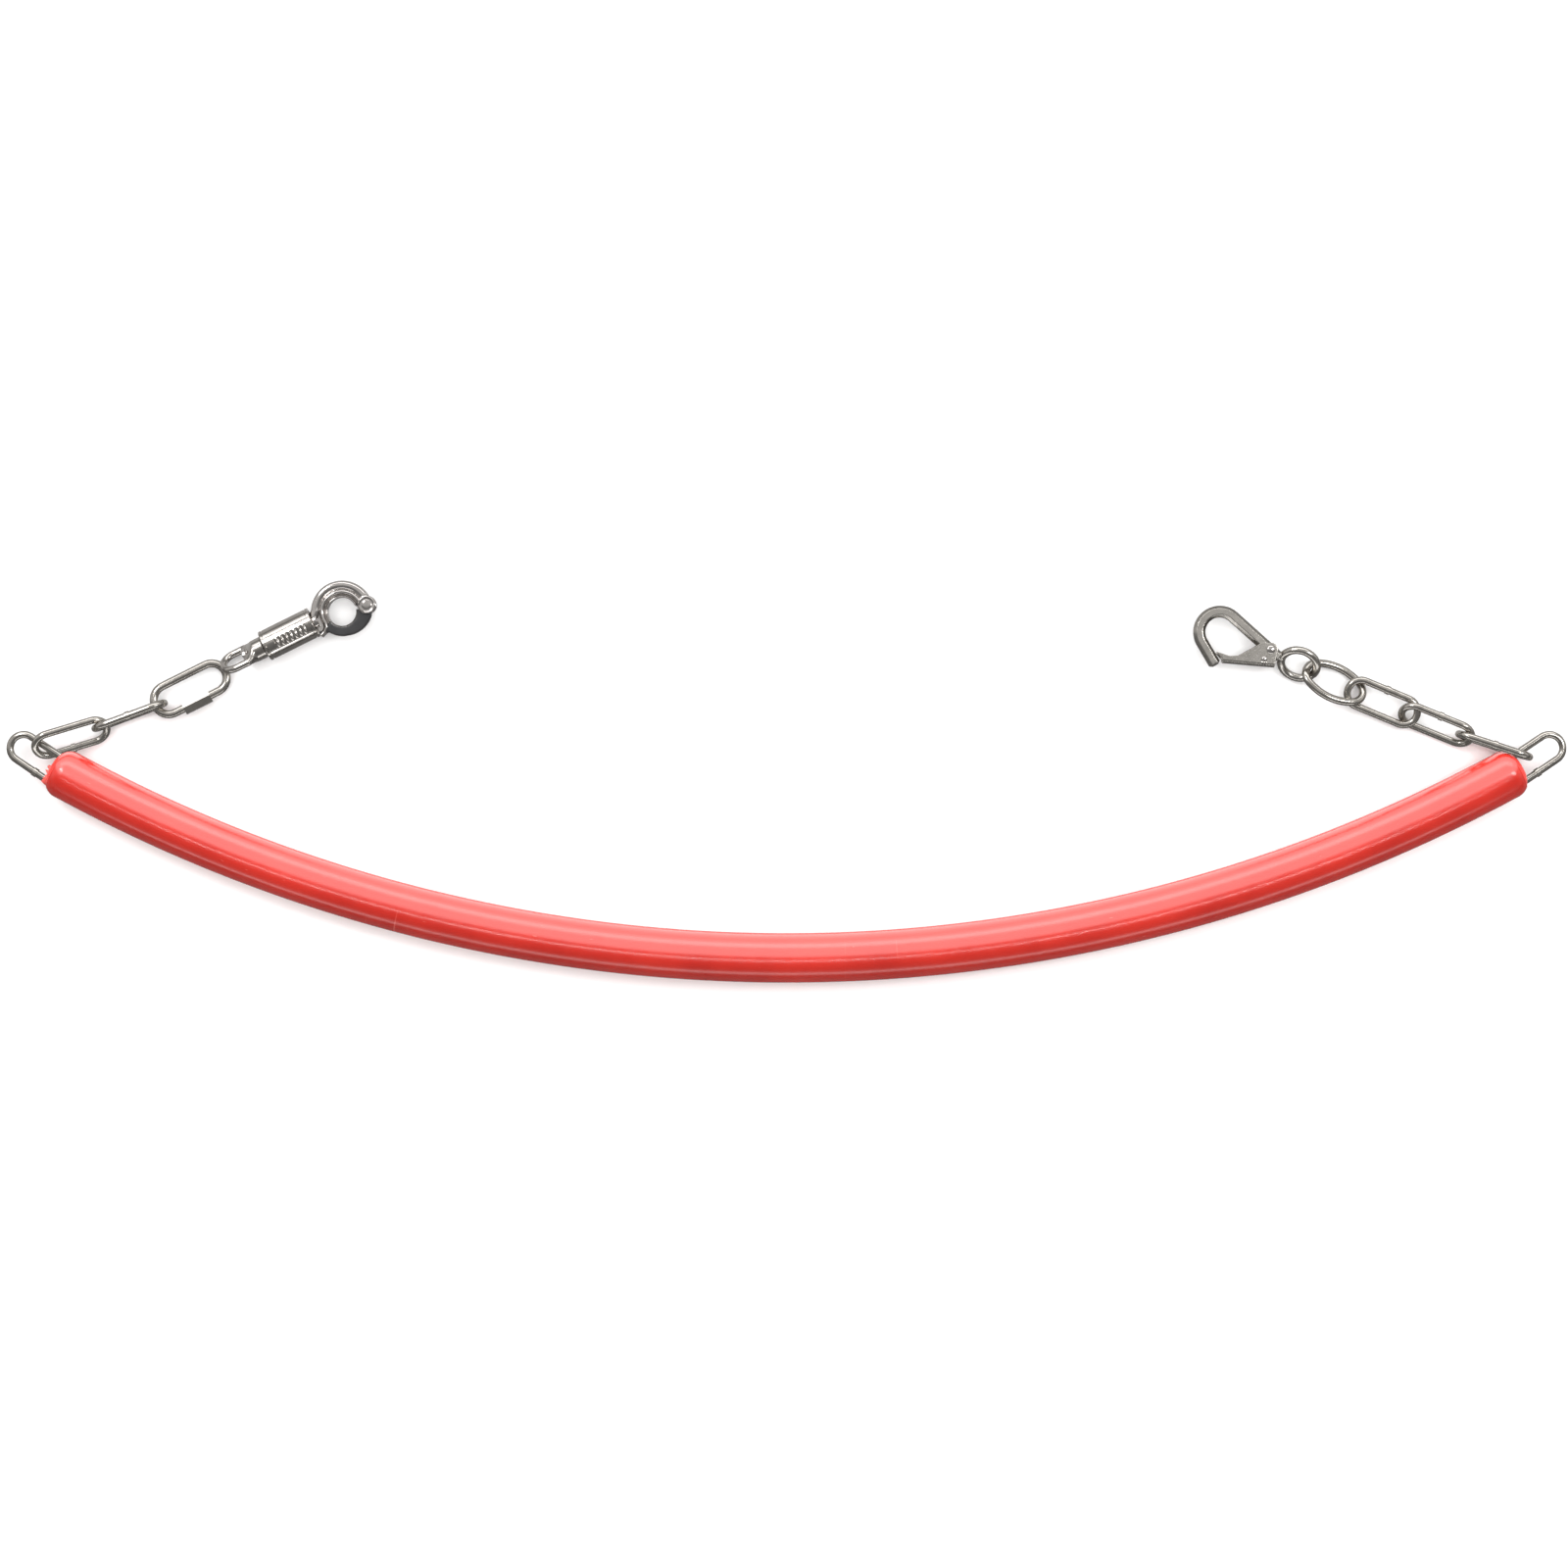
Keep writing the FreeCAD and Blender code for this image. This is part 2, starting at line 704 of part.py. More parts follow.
def bow_path():
    """Back bar, bend and nose, as one path from the eye to the nose's tip."""
    back = math.radians(180 - size("back_bar_angle"))
    fore = math.radians(180 - size("nose_angle"))
    radius = size("bow_radius")
    centre = Vector(size("bow_from_eye"), 0, 0)

    def unit(angle):
        return Vector(math.cos(angle), math.sin(angle), 0)

    bend_start = centre + unit(back + math.pi / 2) * radius
    bend_end = centre + unit(fore - math.pi / 2) * radius
    root = bend_start + unit(back) * size("back_bar_length")
    tip = bend_end + unit(fore) * size("nose_length")
    return root, bend_start, centre + Vector(radius, 0, 0), bend_end, tip


def gate_pivot():
    root, bend_start = bow_path()[:2]
    return bend_start + (root - bend_start).normalize() * size("gate_pivot_along")


def make_hook_body(place, eye_roll):
    """Bevelled bar bent to a bow, with a round wire eye at its root."""
    root, bend_start, top, bend_end, tip = bow_path()
    path = Part.Wire(
        [
            Part.LineSegment(root, bend_start).toShape(),
            Part.Arc(bend_start, top, bend_end).toShape(),
            Part.LineSegment(bend_end, tip).toShape(),
        ]
    )
    ahead = (bend_start - root).normalize()
    across = Vector(-ahead.y, ahead.x, 0)
    wide, high, bevel = size("bar_width") / 2, size("bar_thickness") / 2, size("bar_bevel")
    corners = [
        (wide, high - bevel),
        (wide - bevel, high),
        (bevel - wide, high),
        (-wide, high - bevel),
        (-wide, bevel - high),
        (bevel - wide, -high),
        (wide - bevel, -high),
        (wide, bevel - high),
    ]
    points = [root + across * a + Vector(0, 0, b) for a, b in corners]
    section = Part.makePolygon(points + points[:1])
    bar = path.makePipeShell([section], True, True)
    wire = size("hook_eye_wire")
    eye = Part.makeTorus((size("hook_eye_diameter") - wire) / 2, wire / 2)
    eye.Placement = Placement(Vector(), Rotation(Vector(1, 0, 0), eye_roll))
    neck_from = Vector((size("hook_eye_diameter") - wire) / 2 - HOOK_NECK_SINK, 0, 0)
    neck = Part.makeCylinder(wire / 2 + HOOK_NECK_SWELL, HOOK_NECK_LENGTH, neck_from, AXIS_X)
    through = size("bar_thickness") + 2 * OVERCUT
    rivet = disc(gate_pivot(), size("rivet_diameter") + 2 * PRESS_FIT, through)
    body = bar.fuse([eye, neck]).cut(rivet)
    node(shaped("HookBody", body.removeSplitter()), "snap_hook_body", place)


def gate_outline():
    """The gate's cheek, seen along Z: a narrow strip that flares round the pivot."""
    bend_end, tip = bow_path()[3:]
    fore = (tip - bend_end).normalize()
    inward = Vector(fore.y, -fore.x, 0)
    if inward.dot(gate_pivot() - tip) < 0:
        inward = inward * -1
    edge = bend_end + inward * (size("bar_width") / 2 + size("gate_clearance"))
    depth = size("gate_depth")
    pivot = gate_pivot()
    nose_low = edge + fore * (size("nose_length") + GATE_PAST_NOSE)
    nose_high = nose_low - fore * (depth * GATE_NOSE_SLANT)
    heel = pivot + Vector(*GATE_HEEL, 0)
    flare = [pivot + Vector(x, y, 0) for x, y in GATE_FLARE]
    waist = nose_low + (heel - nose_low) * GATE_WAIST_SHARE - Vector(0, depth + GATE_WAIST_SWELL, 0)
    return [nose_high, nose_low, heel, *flare, waist]


def make_gate(place):
    """A pressed channel: two cheeks that straddle the bar, joined by a spine."""
    outline = gate_outline()
    gap = size("bar_thickness") / 2 + size("gate_clearance")
    half = gap + size("gate_sheet")
    points = [point + Vector(0, 0, -half) for point in outline]
    blank = Part.Face(Part.makePolygon(points + points[:1])).extrude(Vector(0, 0, 2 * half))
    nose_low, heel = outline[1], outline[2]
    spine = (heel - nose_low).normalize()
    inner = Vector(-spine.y, spine.x, 0)
    if inner.dot(gate_pivot() - heel) < 0:
        inner = inner * -1
    lead, long, deep = spine * 30, spine * 100, inner * 60  # past the gate on every side
    start = nose_low + inner * size("gate_sheet") - lead + Vector(0, 0, -gap)
    room = [start, start + long, start + long + deep, start + deep]
    room = Part.Face(Part.makePolygon(room + room[:1])).extrude(Vector(0, 0, 2 * gap))
    holes = disc(gate_pivot(), size("rivet_diameter") + 2 * size("rivet_fit"), 4 * half)
    pin = disc(spring_pin(), size("spring_rivet_diameter") + 2 * PRESS_FIT, 4 * half)
    gate = blank.cut(room).cut(holes).cut(pin)
    node(shaped("Gate", gate), "snap_hook_gate", place)


def spring_pin():
    return gate_pivot() + Vector(SPRING_PIN_AHEAD, size("gate_spring_drop"), 0)


def headed_rivet(name, label, centre, diameter, head, place):
    half = size("bar_thickness") / 2 + size("gate_clearance") + size("gate_sheet")
    height = size("rivet_head_height")
    seat = half + RIVET_HEAD_GAP
    rivet = disc(centre, diameter, 2 * seat + height)
    for side in (1, -1):
        foot = centre + Vector(0, 0, side * seat)
        cap = Part.makeCone(head / 2, (head - height) / 2, height, foot, AXIS_Z * side)
        rivet = rivet.fuse(cap)
    node(shaped(name, rivet), label, place)


def make_gate_spring(place):
    """A wire wound on the spring pin, between the gate's cheeks."""
    wire, wound = size("spring_wire"), size("spring_coil_diameter")
    pitch = wire + SPRING_TURN_GAP
    height = SPRING_TURNS * pitch
    coil = coil_solid(pitch, height, wound, wire)
    seat = Placement(spring_pin() - Vector(0, 0, height / 2), Rotation())
    node(shaped("GateSpring", coil), "snap_hook_gate_spring", place.multiply(seat))


# --- layout ------------------------------------------------------------------------------------

# centre, yaw, pitch and roll of each loose piece as it lies
LAYOUT = {
    "left_link_2": ((-434.1, 133.5, 12.85), 17.65, -12.05, 43.15),
    "left_link_3": ((-398.9, 146.9, 10.55), 20.4, 0.0, 91.2),
    "quick_link": ((-362.85, 163.35, 5.8), 27.15, -6.0, -1.0),
    "panic_snap": ((-344.0, 175.6, 10.45), 26.4, 0.0, 0.0),
    "right_link_2": ((429.35, 128.8, 12.6), 161.5, -5.55, -90.8),
    "right_link_4": ((394.95, 141.4, 9.45), 157.6, -3.25, -50.2),
    "right_link_3": ((362.3, 155.0, 7.65), 157.2, -2.65, -12.4),
    "oval_ring": ((333.0, 167.1, 8.3), 155.9, 3.65, 30.4),
    "snap_hook": ((311.2, 178.25, 10.5), 158.0, 0.0, 0.0),
}
EYE_ROLL = -53.2
HOOK_EYE_ROLL = -46.0


def laid(name, roll=0.0):
    centre, yaw, pitch, own_roll = LAYOUT[name]
    return Placement(Vector(*centre), heading(yaw, pitch, own_roll + roll))


def build():
    wire = route_wire()
    dome = domed_rod(wire)
    make_hose(wire, dome)
    for left in (True, False):
        make_plug(wire, dome, left)
        make_end_link(wire, left)
    make_inner_chain(wire)
    for name in ("left_link_2", "left_link_3", "right_link_2", "right_link_4", "right_link_3"):
        weld_side = 1 if name == "left_link_3" else -1
        node(chain_link(name.title().replace("_", ""), weld_side), name, laid(name))
    make_quick_link(laid("quick_link"))
    snap = laid("panic_snap")
    make_swivel_eye(laid("panic_snap", EYE_ROLL))
    make_boss(laid("panic_snap", EYE_ROLL))
    make_snap_body(snap)
    make_jaw(snap)
    make_jaw_pin(snap)
    make_collar(snap)
    make_retainer(snap)
    make_collar_spring(snap)
    make_oval_ring(laid("oval_ring"))
    hook = laid("snap_hook")
    make_hook_body(hook, HOOK_EYE_ROLL)
    make_gate(hook)
    rivet, pin = size("rivet_diameter"), size("spring_rivet_diameter")
    head = size("rivet_head_diameter")
    headed_rivet("GateRivet", "snap_hook_gate_rivet", gate_pivot(), rivet, head, hook)
    pin_head = pin + SPRING_PIN_SWELL
    headed_rivet("SpringPin", "snap_hook_spring_pin", spring_pin(), pin, pin_head, hook)
    make_gate_spring(hook)


def move_to_origin():
    """Put the origin on the floor under the middle of the whole chain."""
    box = FreeCAD.BoundBox()
    for piece in parts:
        box.add(piece.Shape.optimalBoundingBox(False))
    shift = Vector(box.Center.x, box.Center.y, box.ZMin)
    print(f"design zero moved by {shift}")
    for piece in parts:
        piece.Placement = Placement(-shift, Rotation()).multiply(piece.Placement)


def check():
    for item in doc.Objects:
        if "Invalid" in item.State or "Error" in item.State:
            raise RuntimeError(f"{item.Label} failed: {item.State}")
    for piece in parts:
        if piece.Shape.isNull() or not piece.Shape.isValid():
            raise RuntimeError(f"{piece.Label} has no valid shape")
        if len(piece.Shape.Solids) != 1:
            raise RuntimeError(f"{piece.Label} has {len(piece.Shape.Solids)} solids")


build()
doc.recompute()
move_to_origin()
doc.recompute()
check()
os.makedirs("parts", exist_ok=True)
for piece in parts:
    piece.Shape.exportStep(f"parts/{piece.Label}.step")
print(f"{len(parts)} parts written")
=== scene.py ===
"""Looks for the sleeved barrier chain: hose, plugs, snap details, finishes, light, camera."""

import json
import math
import random

import bmesh
import bpy
from mathutils import Matrix, Vector

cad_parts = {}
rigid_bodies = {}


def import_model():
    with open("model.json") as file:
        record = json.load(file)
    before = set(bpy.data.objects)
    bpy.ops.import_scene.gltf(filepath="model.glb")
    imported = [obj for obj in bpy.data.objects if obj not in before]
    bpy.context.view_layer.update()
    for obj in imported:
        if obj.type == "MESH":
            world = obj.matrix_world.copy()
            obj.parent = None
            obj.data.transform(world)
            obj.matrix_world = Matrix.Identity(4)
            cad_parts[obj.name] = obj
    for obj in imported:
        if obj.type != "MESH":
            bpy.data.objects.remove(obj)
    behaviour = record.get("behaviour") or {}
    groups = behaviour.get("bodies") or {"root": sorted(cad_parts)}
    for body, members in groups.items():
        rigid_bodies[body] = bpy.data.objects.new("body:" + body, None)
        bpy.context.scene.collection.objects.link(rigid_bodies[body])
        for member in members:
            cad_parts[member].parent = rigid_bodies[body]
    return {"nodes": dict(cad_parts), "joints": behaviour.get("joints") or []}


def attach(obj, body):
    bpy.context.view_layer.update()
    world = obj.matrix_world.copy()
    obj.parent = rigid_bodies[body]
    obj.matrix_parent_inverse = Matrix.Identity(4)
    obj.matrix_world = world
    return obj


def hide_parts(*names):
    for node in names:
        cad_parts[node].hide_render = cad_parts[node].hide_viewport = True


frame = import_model()
nodes = frame["nodes"]
joints = {joint["name"]: joint for joint in frame["joints"]}
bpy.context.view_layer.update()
scene = bpy.context.scene
MM = 0.001
X, Z = Vector((1, 0, 0)), Vector((0, 0, 1))

# --- small helpers ---------------------------------------------------------------------------


def link(piece):
    scene.collection.objects.link(piece)
    return piece


def mesh_piece(name, points, faces, smooth=True, matrix=None):
    """A mesh object from points in metres; matrix puts local points in the frame."""
    mesh = bpy.data.meshes.new(name)
    mesh.from_pydata([tuple(p) for p in points], [], faces)
    if matrix is not None:
        mesh.transform(matrix)
    mesh.update()
    shell = bmesh.new()
    shell.from_mesh(mesh)
    bmesh.ops.recalc_face_normals(shell, faces=shell.faces)
    shell.to_mesh(mesh)
    shell.free()
    for face in mesh.polygons:
        face.use_smooth = smooth
    return link(bpy.data.objects.new(name, mesh))


def loft(rings, closed=False):
    """Points and faces of a skin over rings of equal length, capped unless it closes on itself."""
    points = [p for ring in rings for p in ring]
    size = len(rings[0])
    faces = []
    last = len(rings) if closed else len(rings) - 1
    for i in range(last):
        a, b = i * size, (i + 1) % len(rings) * size
        for k in range(size):
            n = (k + 1) % size
            faces.append((a + k, a + n, b + n, b + k))
    if not closed:
        faces.append(tuple(reversed(range(size))))
        faces.append(tuple(range(len(points) - size, len(points))))
    return points, faces


def frames_along(line):
    """Point, ahead, left and up for every point of a line that lies near the floor plane."""
    out = []
    for i, point in enumerate(line):
        before, after = line[max(i - 1, 0)], line[min(i + 1, len(line) - 1)]
        ahead = (after - before).normalized()
        left = Z.cross(ahead).normalized()
        out.append((point, ahead, left, ahead.cross(left)))
    return out


# --- camera ------------------------------------------------------------------------------------

VIEW_WIDTH = 0.9504
VIEW_CENTRE = Vector((-0.0015, -0.0016, 0.015))
LENS, SENSOR = 85.0, 36.0
camera = link(bpy.data.objects.new("Camera", bpy.data.cameras.new("Camera")))
camera.data.lens = LENS
camera.data.sensor_width = SENSOR
camera.location = VIEW_CENTRE + Vector((0, 0, VIEW_WIDTH * LENS / SENSOR))
scene.camera = camera
scene.view_settings.view_transform = "Standard"

# --- materials ---------------------------------------------------------------------------------


class Shader:
    """A node tree round one Principled shader, with short ways to add nodes to it."""

    def __init__(self, name, **sockets):
        self.material = bpy.data.materials.new(name)
        self.material.use_nodes = True
        self.tree = self.material.node_tree
        self.bsdf = self.tree.nodes["Principled BSDF"]
        for label, value in sockets.items():
            self.bsdf.inputs[label.replace("_", " ")].default_value = value

    def add(self, kind, **inputs):
        made = self.tree.nodes.new("ShaderNode" + kind)
        for label, value in inputs.items():
            self.feed(made, label.replace("_", " "), value)
        return made

    def feed(self, made, label, value):
        if isinstance(value, bpy.types.NodeSocket):
            self.tree.links.new(value, made.inputs[label])
        else:
            made.inputs[label].default_value = value

    def to_bsdf(self, label, value):
        self.tree.links.new(value, self.bsdf.inputs[label])

    def place(self, source="Object", scale=(1, 1, 1), turn=0.0):
        """Coordinates in metres, stretched by scale and turned in their plane."""
        where = self.add("TexCoord").outputs[source]
        spun = self.add("Mapping", Vector=where, Scale=scale, Rotation=(0, 0, turn))
        return spun.outputs[0]

    def noise(self, where, scale, detail=3.0, roughness=0.5):
        made = self.add("TexNoise", Vector=where, Scale=scale, Detail=detail, Roughness=roughness)
        return made.outputs["Fac"]

    def spread(self, value, low, high, to_low=0.0, to_high=1.0):
        made = self.add("MapRange")
        for i, number in enumerate((low, high, to_low, to_high), start=1):
            made.inputs[i].default_value = number
        self.tree.links.new(value, made.inputs[0])
        return made.outputs[0]

    def blend(self, share, first, second):
        made = self.tree.nodes.new("ShaderNodeMix")
        made.data_type = "RGBA"
        self.tree.links.new(share, made.inputs[0])
        for socket, value in ((made.inputs[6], first), (made.inputs[7], second)):
            if isinstance(value, bpy.types.NodeSocket):
                self.tree.links.new(value, socket)
            else:
                socket.default_value = value
        return made.outputs[2]

    def combine(self, operation, first, second):
        made = self.add("Math")
        made.operation = operation
        self.tree.links.new(first, made.inputs[0])
        self.tree.links.new(second, made.inputs[1])
        return made.outputs[0]

    def bump(self, height, strength, distance, under=None):
        made = self.add("Bump", Height=height, Strength=strength, Distance=distance)
        if under is not None:
            self.feed(made, "Normal", under)
        return made.outputs[0]


def metal(name, light, dark, rough):
    """Bare or plated metal: cloudy tone, fine drawing marks, brighter worn edges."""
    wear, brighter = 0.35, 1.25
    shader = Shader(name, Metallic=1.0)
    where = shader.place()
    cloud = shader.noise(where, 160.0, 4.0)
    grain = shader.noise(where, 900.0, 2.0)
    tone = shader.blend(shader.spread(cloud, 0.32, 0.68), dark, light)
    edge = shader.spread(shader.add("NewGeometry").outputs["Pointiness"], 0.5, 0.56, 0.0, wear)
    bright = tuple(min(1.0, brighter * c) for c in light[:3]) + (1,)
    shader.to_bsdf("Base Color", shader.blend(edge, tone, bright))
    shader.to_bsdf("Roughness", shader.spread(grain, 0.3, 0.75, rough * 0.75, rough * 1.35))
    ripple = shader.bump(cloud, 0.06, 0.0003)
    shader.to_bsdf("Normal", shader.bump(grain, 0.03, 0.00005, ripple))
    return shader.material


def red_hose():
    """Glossy extruded PVC: soft mottling, lengthwise draw lines, scuffs and fine scratches."""
    shader = Shader("RedHose", IOR=1.5, Specular_IOR_Level=0.85)
    where = shader.place()
    mottle = shader.noise(where, 28.0, 4.0)
    fine = shader.noise(where, 420.0, 3.0)
    base = shader.blend(
        shader.spread(mottle, 0.3, 0.7), (0.42, 0.014, 0.008, 1), (0.52, 0.021, 0.012, 1)
    )
    drawn = shader.noise(shader.place("UV", (3.0, 1800.0, 1)), 1.0, 2.0)
    across = shader.noise(shader.place("UV", (260.0, 9.0, 1)), 1.0, 2.0)
    scuff = shader.spread(across, 0.71, 0.80)
    patch = shader.spread(shader.noise(where, 16.0, 1.0), 0.52, 0.62)
    slant = shader.noise(shader.place("UV", (120.0, 900.0, 1), turn=0.6), 1.0, 1.0)
    scratch = shader.spread(slant, 0.76, 0.82)
    marks = shader.combine("MAXIMUM", shader.combine("MULTIPLY", scuff, patch), scratch)
    faint = shader.spread(marks, 0.0, 1.0, 0.0, 0.4)
    shader.to_bsdf("Base Color", shader.blend(faint, base, (0.95, 0.25, 0.20, 1)))
    shader.to_bsdf("Roughness", shader.spread(fine, 0.3, 0.7, 0.16, 0.27))
    first = shader.bump(drawn, 0.10, 0.0002)
    second = shader.bump(mottle, 0.25, 0.0010, first)
    third = shader.bump(marks, 0.12, 0.0001, second)
    shader.to_bsdf("Normal", shader.bump(fine, 0.06, 0.0001, third))
    return shader.material


def moulded(name, colour, other, rough):
    """Moulded or painted surface: fine orange-peel grain and a little uneven tone."""
    shader = Shader(name)
    where = shader.place()
    grain = shader.noise(where, 1300.0, 3.0)
    cloud = shader.noise(where, 90.0, 3.0)
    shader.to_bsdf("Base Color", shader.blend(shader.spread(cloud, 0.3, 0.7), colour, other))
    shader.to_bsdf("Roughness", shader.spread(grain, 0.3, 0.7, rough * 0.8, rough * 1.2))
    shader.to_bsdf("Normal", shader.bump(grain, 0.15, 0.0001))
    return shader.material


STEEL = metal("StainlessWire", (0.56, 0.53, 0.49, 1), (0.42, 0.395, 0.365, 1), 0.17)
NICKEL = metal("NickelPlate", (0.58, 0.55, 0.52, 1), (0.44, 0.415, 0.39, 1), 0.15)
CHROME = metal("ChromePlate", (0.66, 0.63, 0.61, 1), (0.52, 0.49, 0.47, 1), 0.11)
SPRING = metal("SpringWire", (0.42, 0.40, 0.38, 1), (0.30, 0.285, 0.27, 1), 0.28)
JAW = moulded("DarkJaw", (0.055, 0.055, 0.058, 1), (0.085, 0.085, 0.088, 1), 0.42)
JAW.node_tree.nodes["Principled BSDF"].inputs["Metallic"].default_value = 0.5
HOOK_STEEL = metal("ForgedStainless", (0.56, 0.53, 0.49, 1), (0.46, 0.44, 0.41, 1), 0.20)
GATE_STEEL = metal("PressedStainless", (0.50, 0.475, 0.44, 1), (0.42, 0.40, 0.37, 1), 0.22)
RIM = metal("WornJawEdge", (0.40, 0.39, 0.38, 1), (0.22, 0.215, 0.21, 1), 0.3)
PLUG = moulded("RedPlug", (0.64, 0.030, 0.022, 1), (0.78, 0.050, 0.038, 1), 0.3)
TORN = moulded("TornRim", (0.88, 0.16, 0.13, 1), (0.80, 0.08, 0.06, 1), 0.45)
HOSE = red_hose()


def finish_of(name):
    if "spring" in name and "pin" not in name:
        return SPRING
    if name == "panic_snap_jaw":
        return JAW
    if name.startswith("panic_snap_body") or name.startswith("panic_snap_jaw_pin"):
        return CHROME
    if name.startswith("panic_snap"):
        return NICKEL
    if name.endswith("plug"):
        return PLUG
    return HOSE if name == "hose" else STEEL


def paint(piece, material):
    piece.data.materials.clear()
    piece.data.materials.append(material)


for name, piece in nodes.items():
    paint(piece, finish_of(name))

# --- hose --------------------------------------------------------------------------------------

HOSE_RADIUS = 0.015
HOSE_WALL = 0.0025
BORE_RADIUS = HOSE_RADIUS - HOSE_WALL
END_ROUNDING = 0.010
HOSE_SIDES = 96
GIRTH = 0.094
# the angle on the rounding where the bore comes out, and its depth behind the end
LIP_ANGLE = math.degrees(math.acos(1 - HOSE_WALL / END_ROUNDING))
LIP_DEPTH = END_ROUNDING * (1 - math.sin(math.radians(LIP_ANGLE)))
PLUG_DEPTH = 0.012
PLUG_FIT = 0.00025
PLUG_SINK = 0.0002
PLUG_EYE = 0.0025
TEAR_SEED = 7
TEAR_SIDES = 40
TEAR_REACH = 0.0046
TEAR_CENTRE = (-0.0022, 0.0052)
# share of the reach, and radius: out over the flap, then back inside it
TEAR_RINGS = [
    (0.0, 0.0064),
    (0.5, 0.0061),
    (1.0, 0.0054),
    (0.95, 0.0046),
    (0.45, 0.0050),
    (0.0, 0.0052),
]
ROUTE = [
    (-0.4453, 0.0087),
    (-0.3944, -0.0197),
    (-0.2864, -0.0630),
    (-0.1737, -0.0922),
    (-0.0582, -0.1070),
    (0.0582, -0.1070),
    (0.1737, -0.0922),
    (0.2864, -0.0630),
    (0.3944, -0.0197),
    (0.4453, 0.0087),
]


def route_line():
    """Points of the hose's centreline, read from a smooth spline through its route."""
    curve = bpy.data.curves.new("HoseRoute", "CURVE")
    curve.dimensions = "3D"
    curve.resolution_u = 32
    spline = curve.splines.new("NURBS")
    spline.points.add(len(ROUTE) - 1)
    for point, (x, y) in zip(spline.points, ROUTE):
        point.co = (x, y, HOSE_RADIUS, 1)
    spline.order_u = 3
    spline.use_endpoint_u = True
    holder = link(bpy.data.objects.new("HoseRoute", curve))
    bpy.context.view_layer.update()
    mesh = bpy.data.meshes.new_from_object(holder)
    line = [v.co.copy() for v in mesh.vertices]
    bpy.data.objects.remove(holder)
    return line


def ends_of(line):
    """Each end's point and the direction out of it."""
    return {
        "left": (line[0], (line[0] - line[1]).normalized()),
        "right": (line[-1], (line[-1] - line[-2]).normalized()),
    }


def end_profile(steps, start=0.0):
    """Depth behind the end and radius, round the hose's end, from the side to the end's flat."""
    return [
        (
            END_ROUNDING * (1 - math.sin(math.radians(a))),
            HOSE_RADIUS - END_ROUNDING * (1 - math.cos(math.radians(a))),
        )
        for a in (start + (90 - start) * i / steps for i in range(steps + 1))
    ]


def circle(at, left, up, radius, sides):
    turns = [2 * math.pi * k / sides for k in range(sides)]
    return [at + left * math.cos(t) * radius + up * math.sin(t) * radius for t in turns]


def spread_uv(hose, centres):
    """UV in metres: along the hose, and round it."""
    layer = hose.data.uv_layers.new(name="Along")
    travel = [0.0]
    for a, b in zip(centres, centres[1:]):
        travel.append(travel[-1] + (b - a).length)
    for face in hose.data.polygons:
        corners = [hose.data.loops[i].vertex_index for i in face.loop_indices]
        around = [c % HOSE_SIDES for c in corners]
        wraps = max(around) - min(around) > HOSE_SIDES / 2
        for i, corner, place in zip(face.loop_indices, corners, around):
            if wraps and place < HOSE_SIDES / 2:
                place += HOSE_SIDES
            layer.data[i].uv = (travel[corner // HOSE_SIDES], place / HOSE_SIDES * GIRTH)


def make_hose(line, ends):
    """The hose's skin, with rounded ends that stop at the plugs and a short way back inside."""
    rounding = [(d, r) for d, r in end_profile(24) if r > BORE_RADIUS]
    inside = [(PLUG_DEPTH, 0.0002), (0.0006, 0.0001), (0.0, 0.0)]
    profile = [(LIP_DEPTH + d, BORE_RADIUS - r) for d, r in inside] + rounding[::-1]
    straight = END_ROUNDING + 0.001
    body = [p for p in line if min((p - end).length for end, _ in ends.values()) > straight]

    def end_rings(end, outward, side):
        left = Z.cross(outward).normalized() * side
        return [(end - outward * d, left, r) for d, r in profile]

    start = end_rings(*ends["left"], -1)
    stop = end_rings(*ends["right"], 1)
    middle = [(at, left, HOSE_RADIUS) for at, _, left, _ in frames_along(body)]
    placed = start + middle + stop[::-1]
    centres = [at for at, _, _ in placed]
    rings = [circle(at, left, Z, radius, HOSE_SIDES) for at, left, radius in placed]
    hose = mesh_piece("hose_skin", *loft(rings))
    spread_uv(hose, centres)
    paint(hose, HOSE)
    return hose, centres


def make_plug(side, end, outward):
    """The moulded plug inside the hose's end, carrying on its rounding."""
    left = Z.cross(outward).normalized()
    profile = [(PLUG_DEPTH, BORE_RADIUS - PLUG_FIT)]
    profile += [(d + PLUG_SINK, r - PLUG_FIT) for d, r in end_profile(14, LIP_ANGLE)]
    profile.append((PLUG_SINK, PLUG_EYE))
    rings = [circle(end - outward * d, left, Z, r, HOSE_SIDES) for d, r in profile]
    plug = mesh_piece(f"{side}_plug", *loft(rings))
    paint(plug, PLUG)
    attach(plug, "hose")
    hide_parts(side + "_end_plug")
    return plug


def make_torn_rim(end, outward):
    """A ragged flap of hose skin round the strand that leaves the left end."""
    draw = random.Random(TEAR_SEED)
    left = Z.cross(outward).normalized()
    centre = end + outward * TEAR_CENTRE[0] + left * TEAR_CENTRE[1]
    ragged = [draw.uniform(0.35, 1.0) for _ in range(TEAR_SIDES)]
    rings = []
    for share, radius in TEAR_RINGS:
        flat = circle(centre, left, Z, radius, TEAR_SIDES)
        rings.append([p + outward * TEAR_REACH * share * far for p, far in zip(flat, ragged)])
    rim = mesh_piece("left_torn_rim", *loft(rings, closed=True))
    paint(rim, TORN)
    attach(rim, "hose")
    return rim


line = route_line()
ends = ends_of(line)
hose, centres = make_hose(line, ends)
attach(hose, "hose")
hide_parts("hose")
plugs = [make_plug(side, *ends[side]) for side in ("left", "right")]
rim = make_torn_rim(*ends["left"])

# --- panic snap, in its own millimetres: X along its axis from the eye's tip, Z up --------------


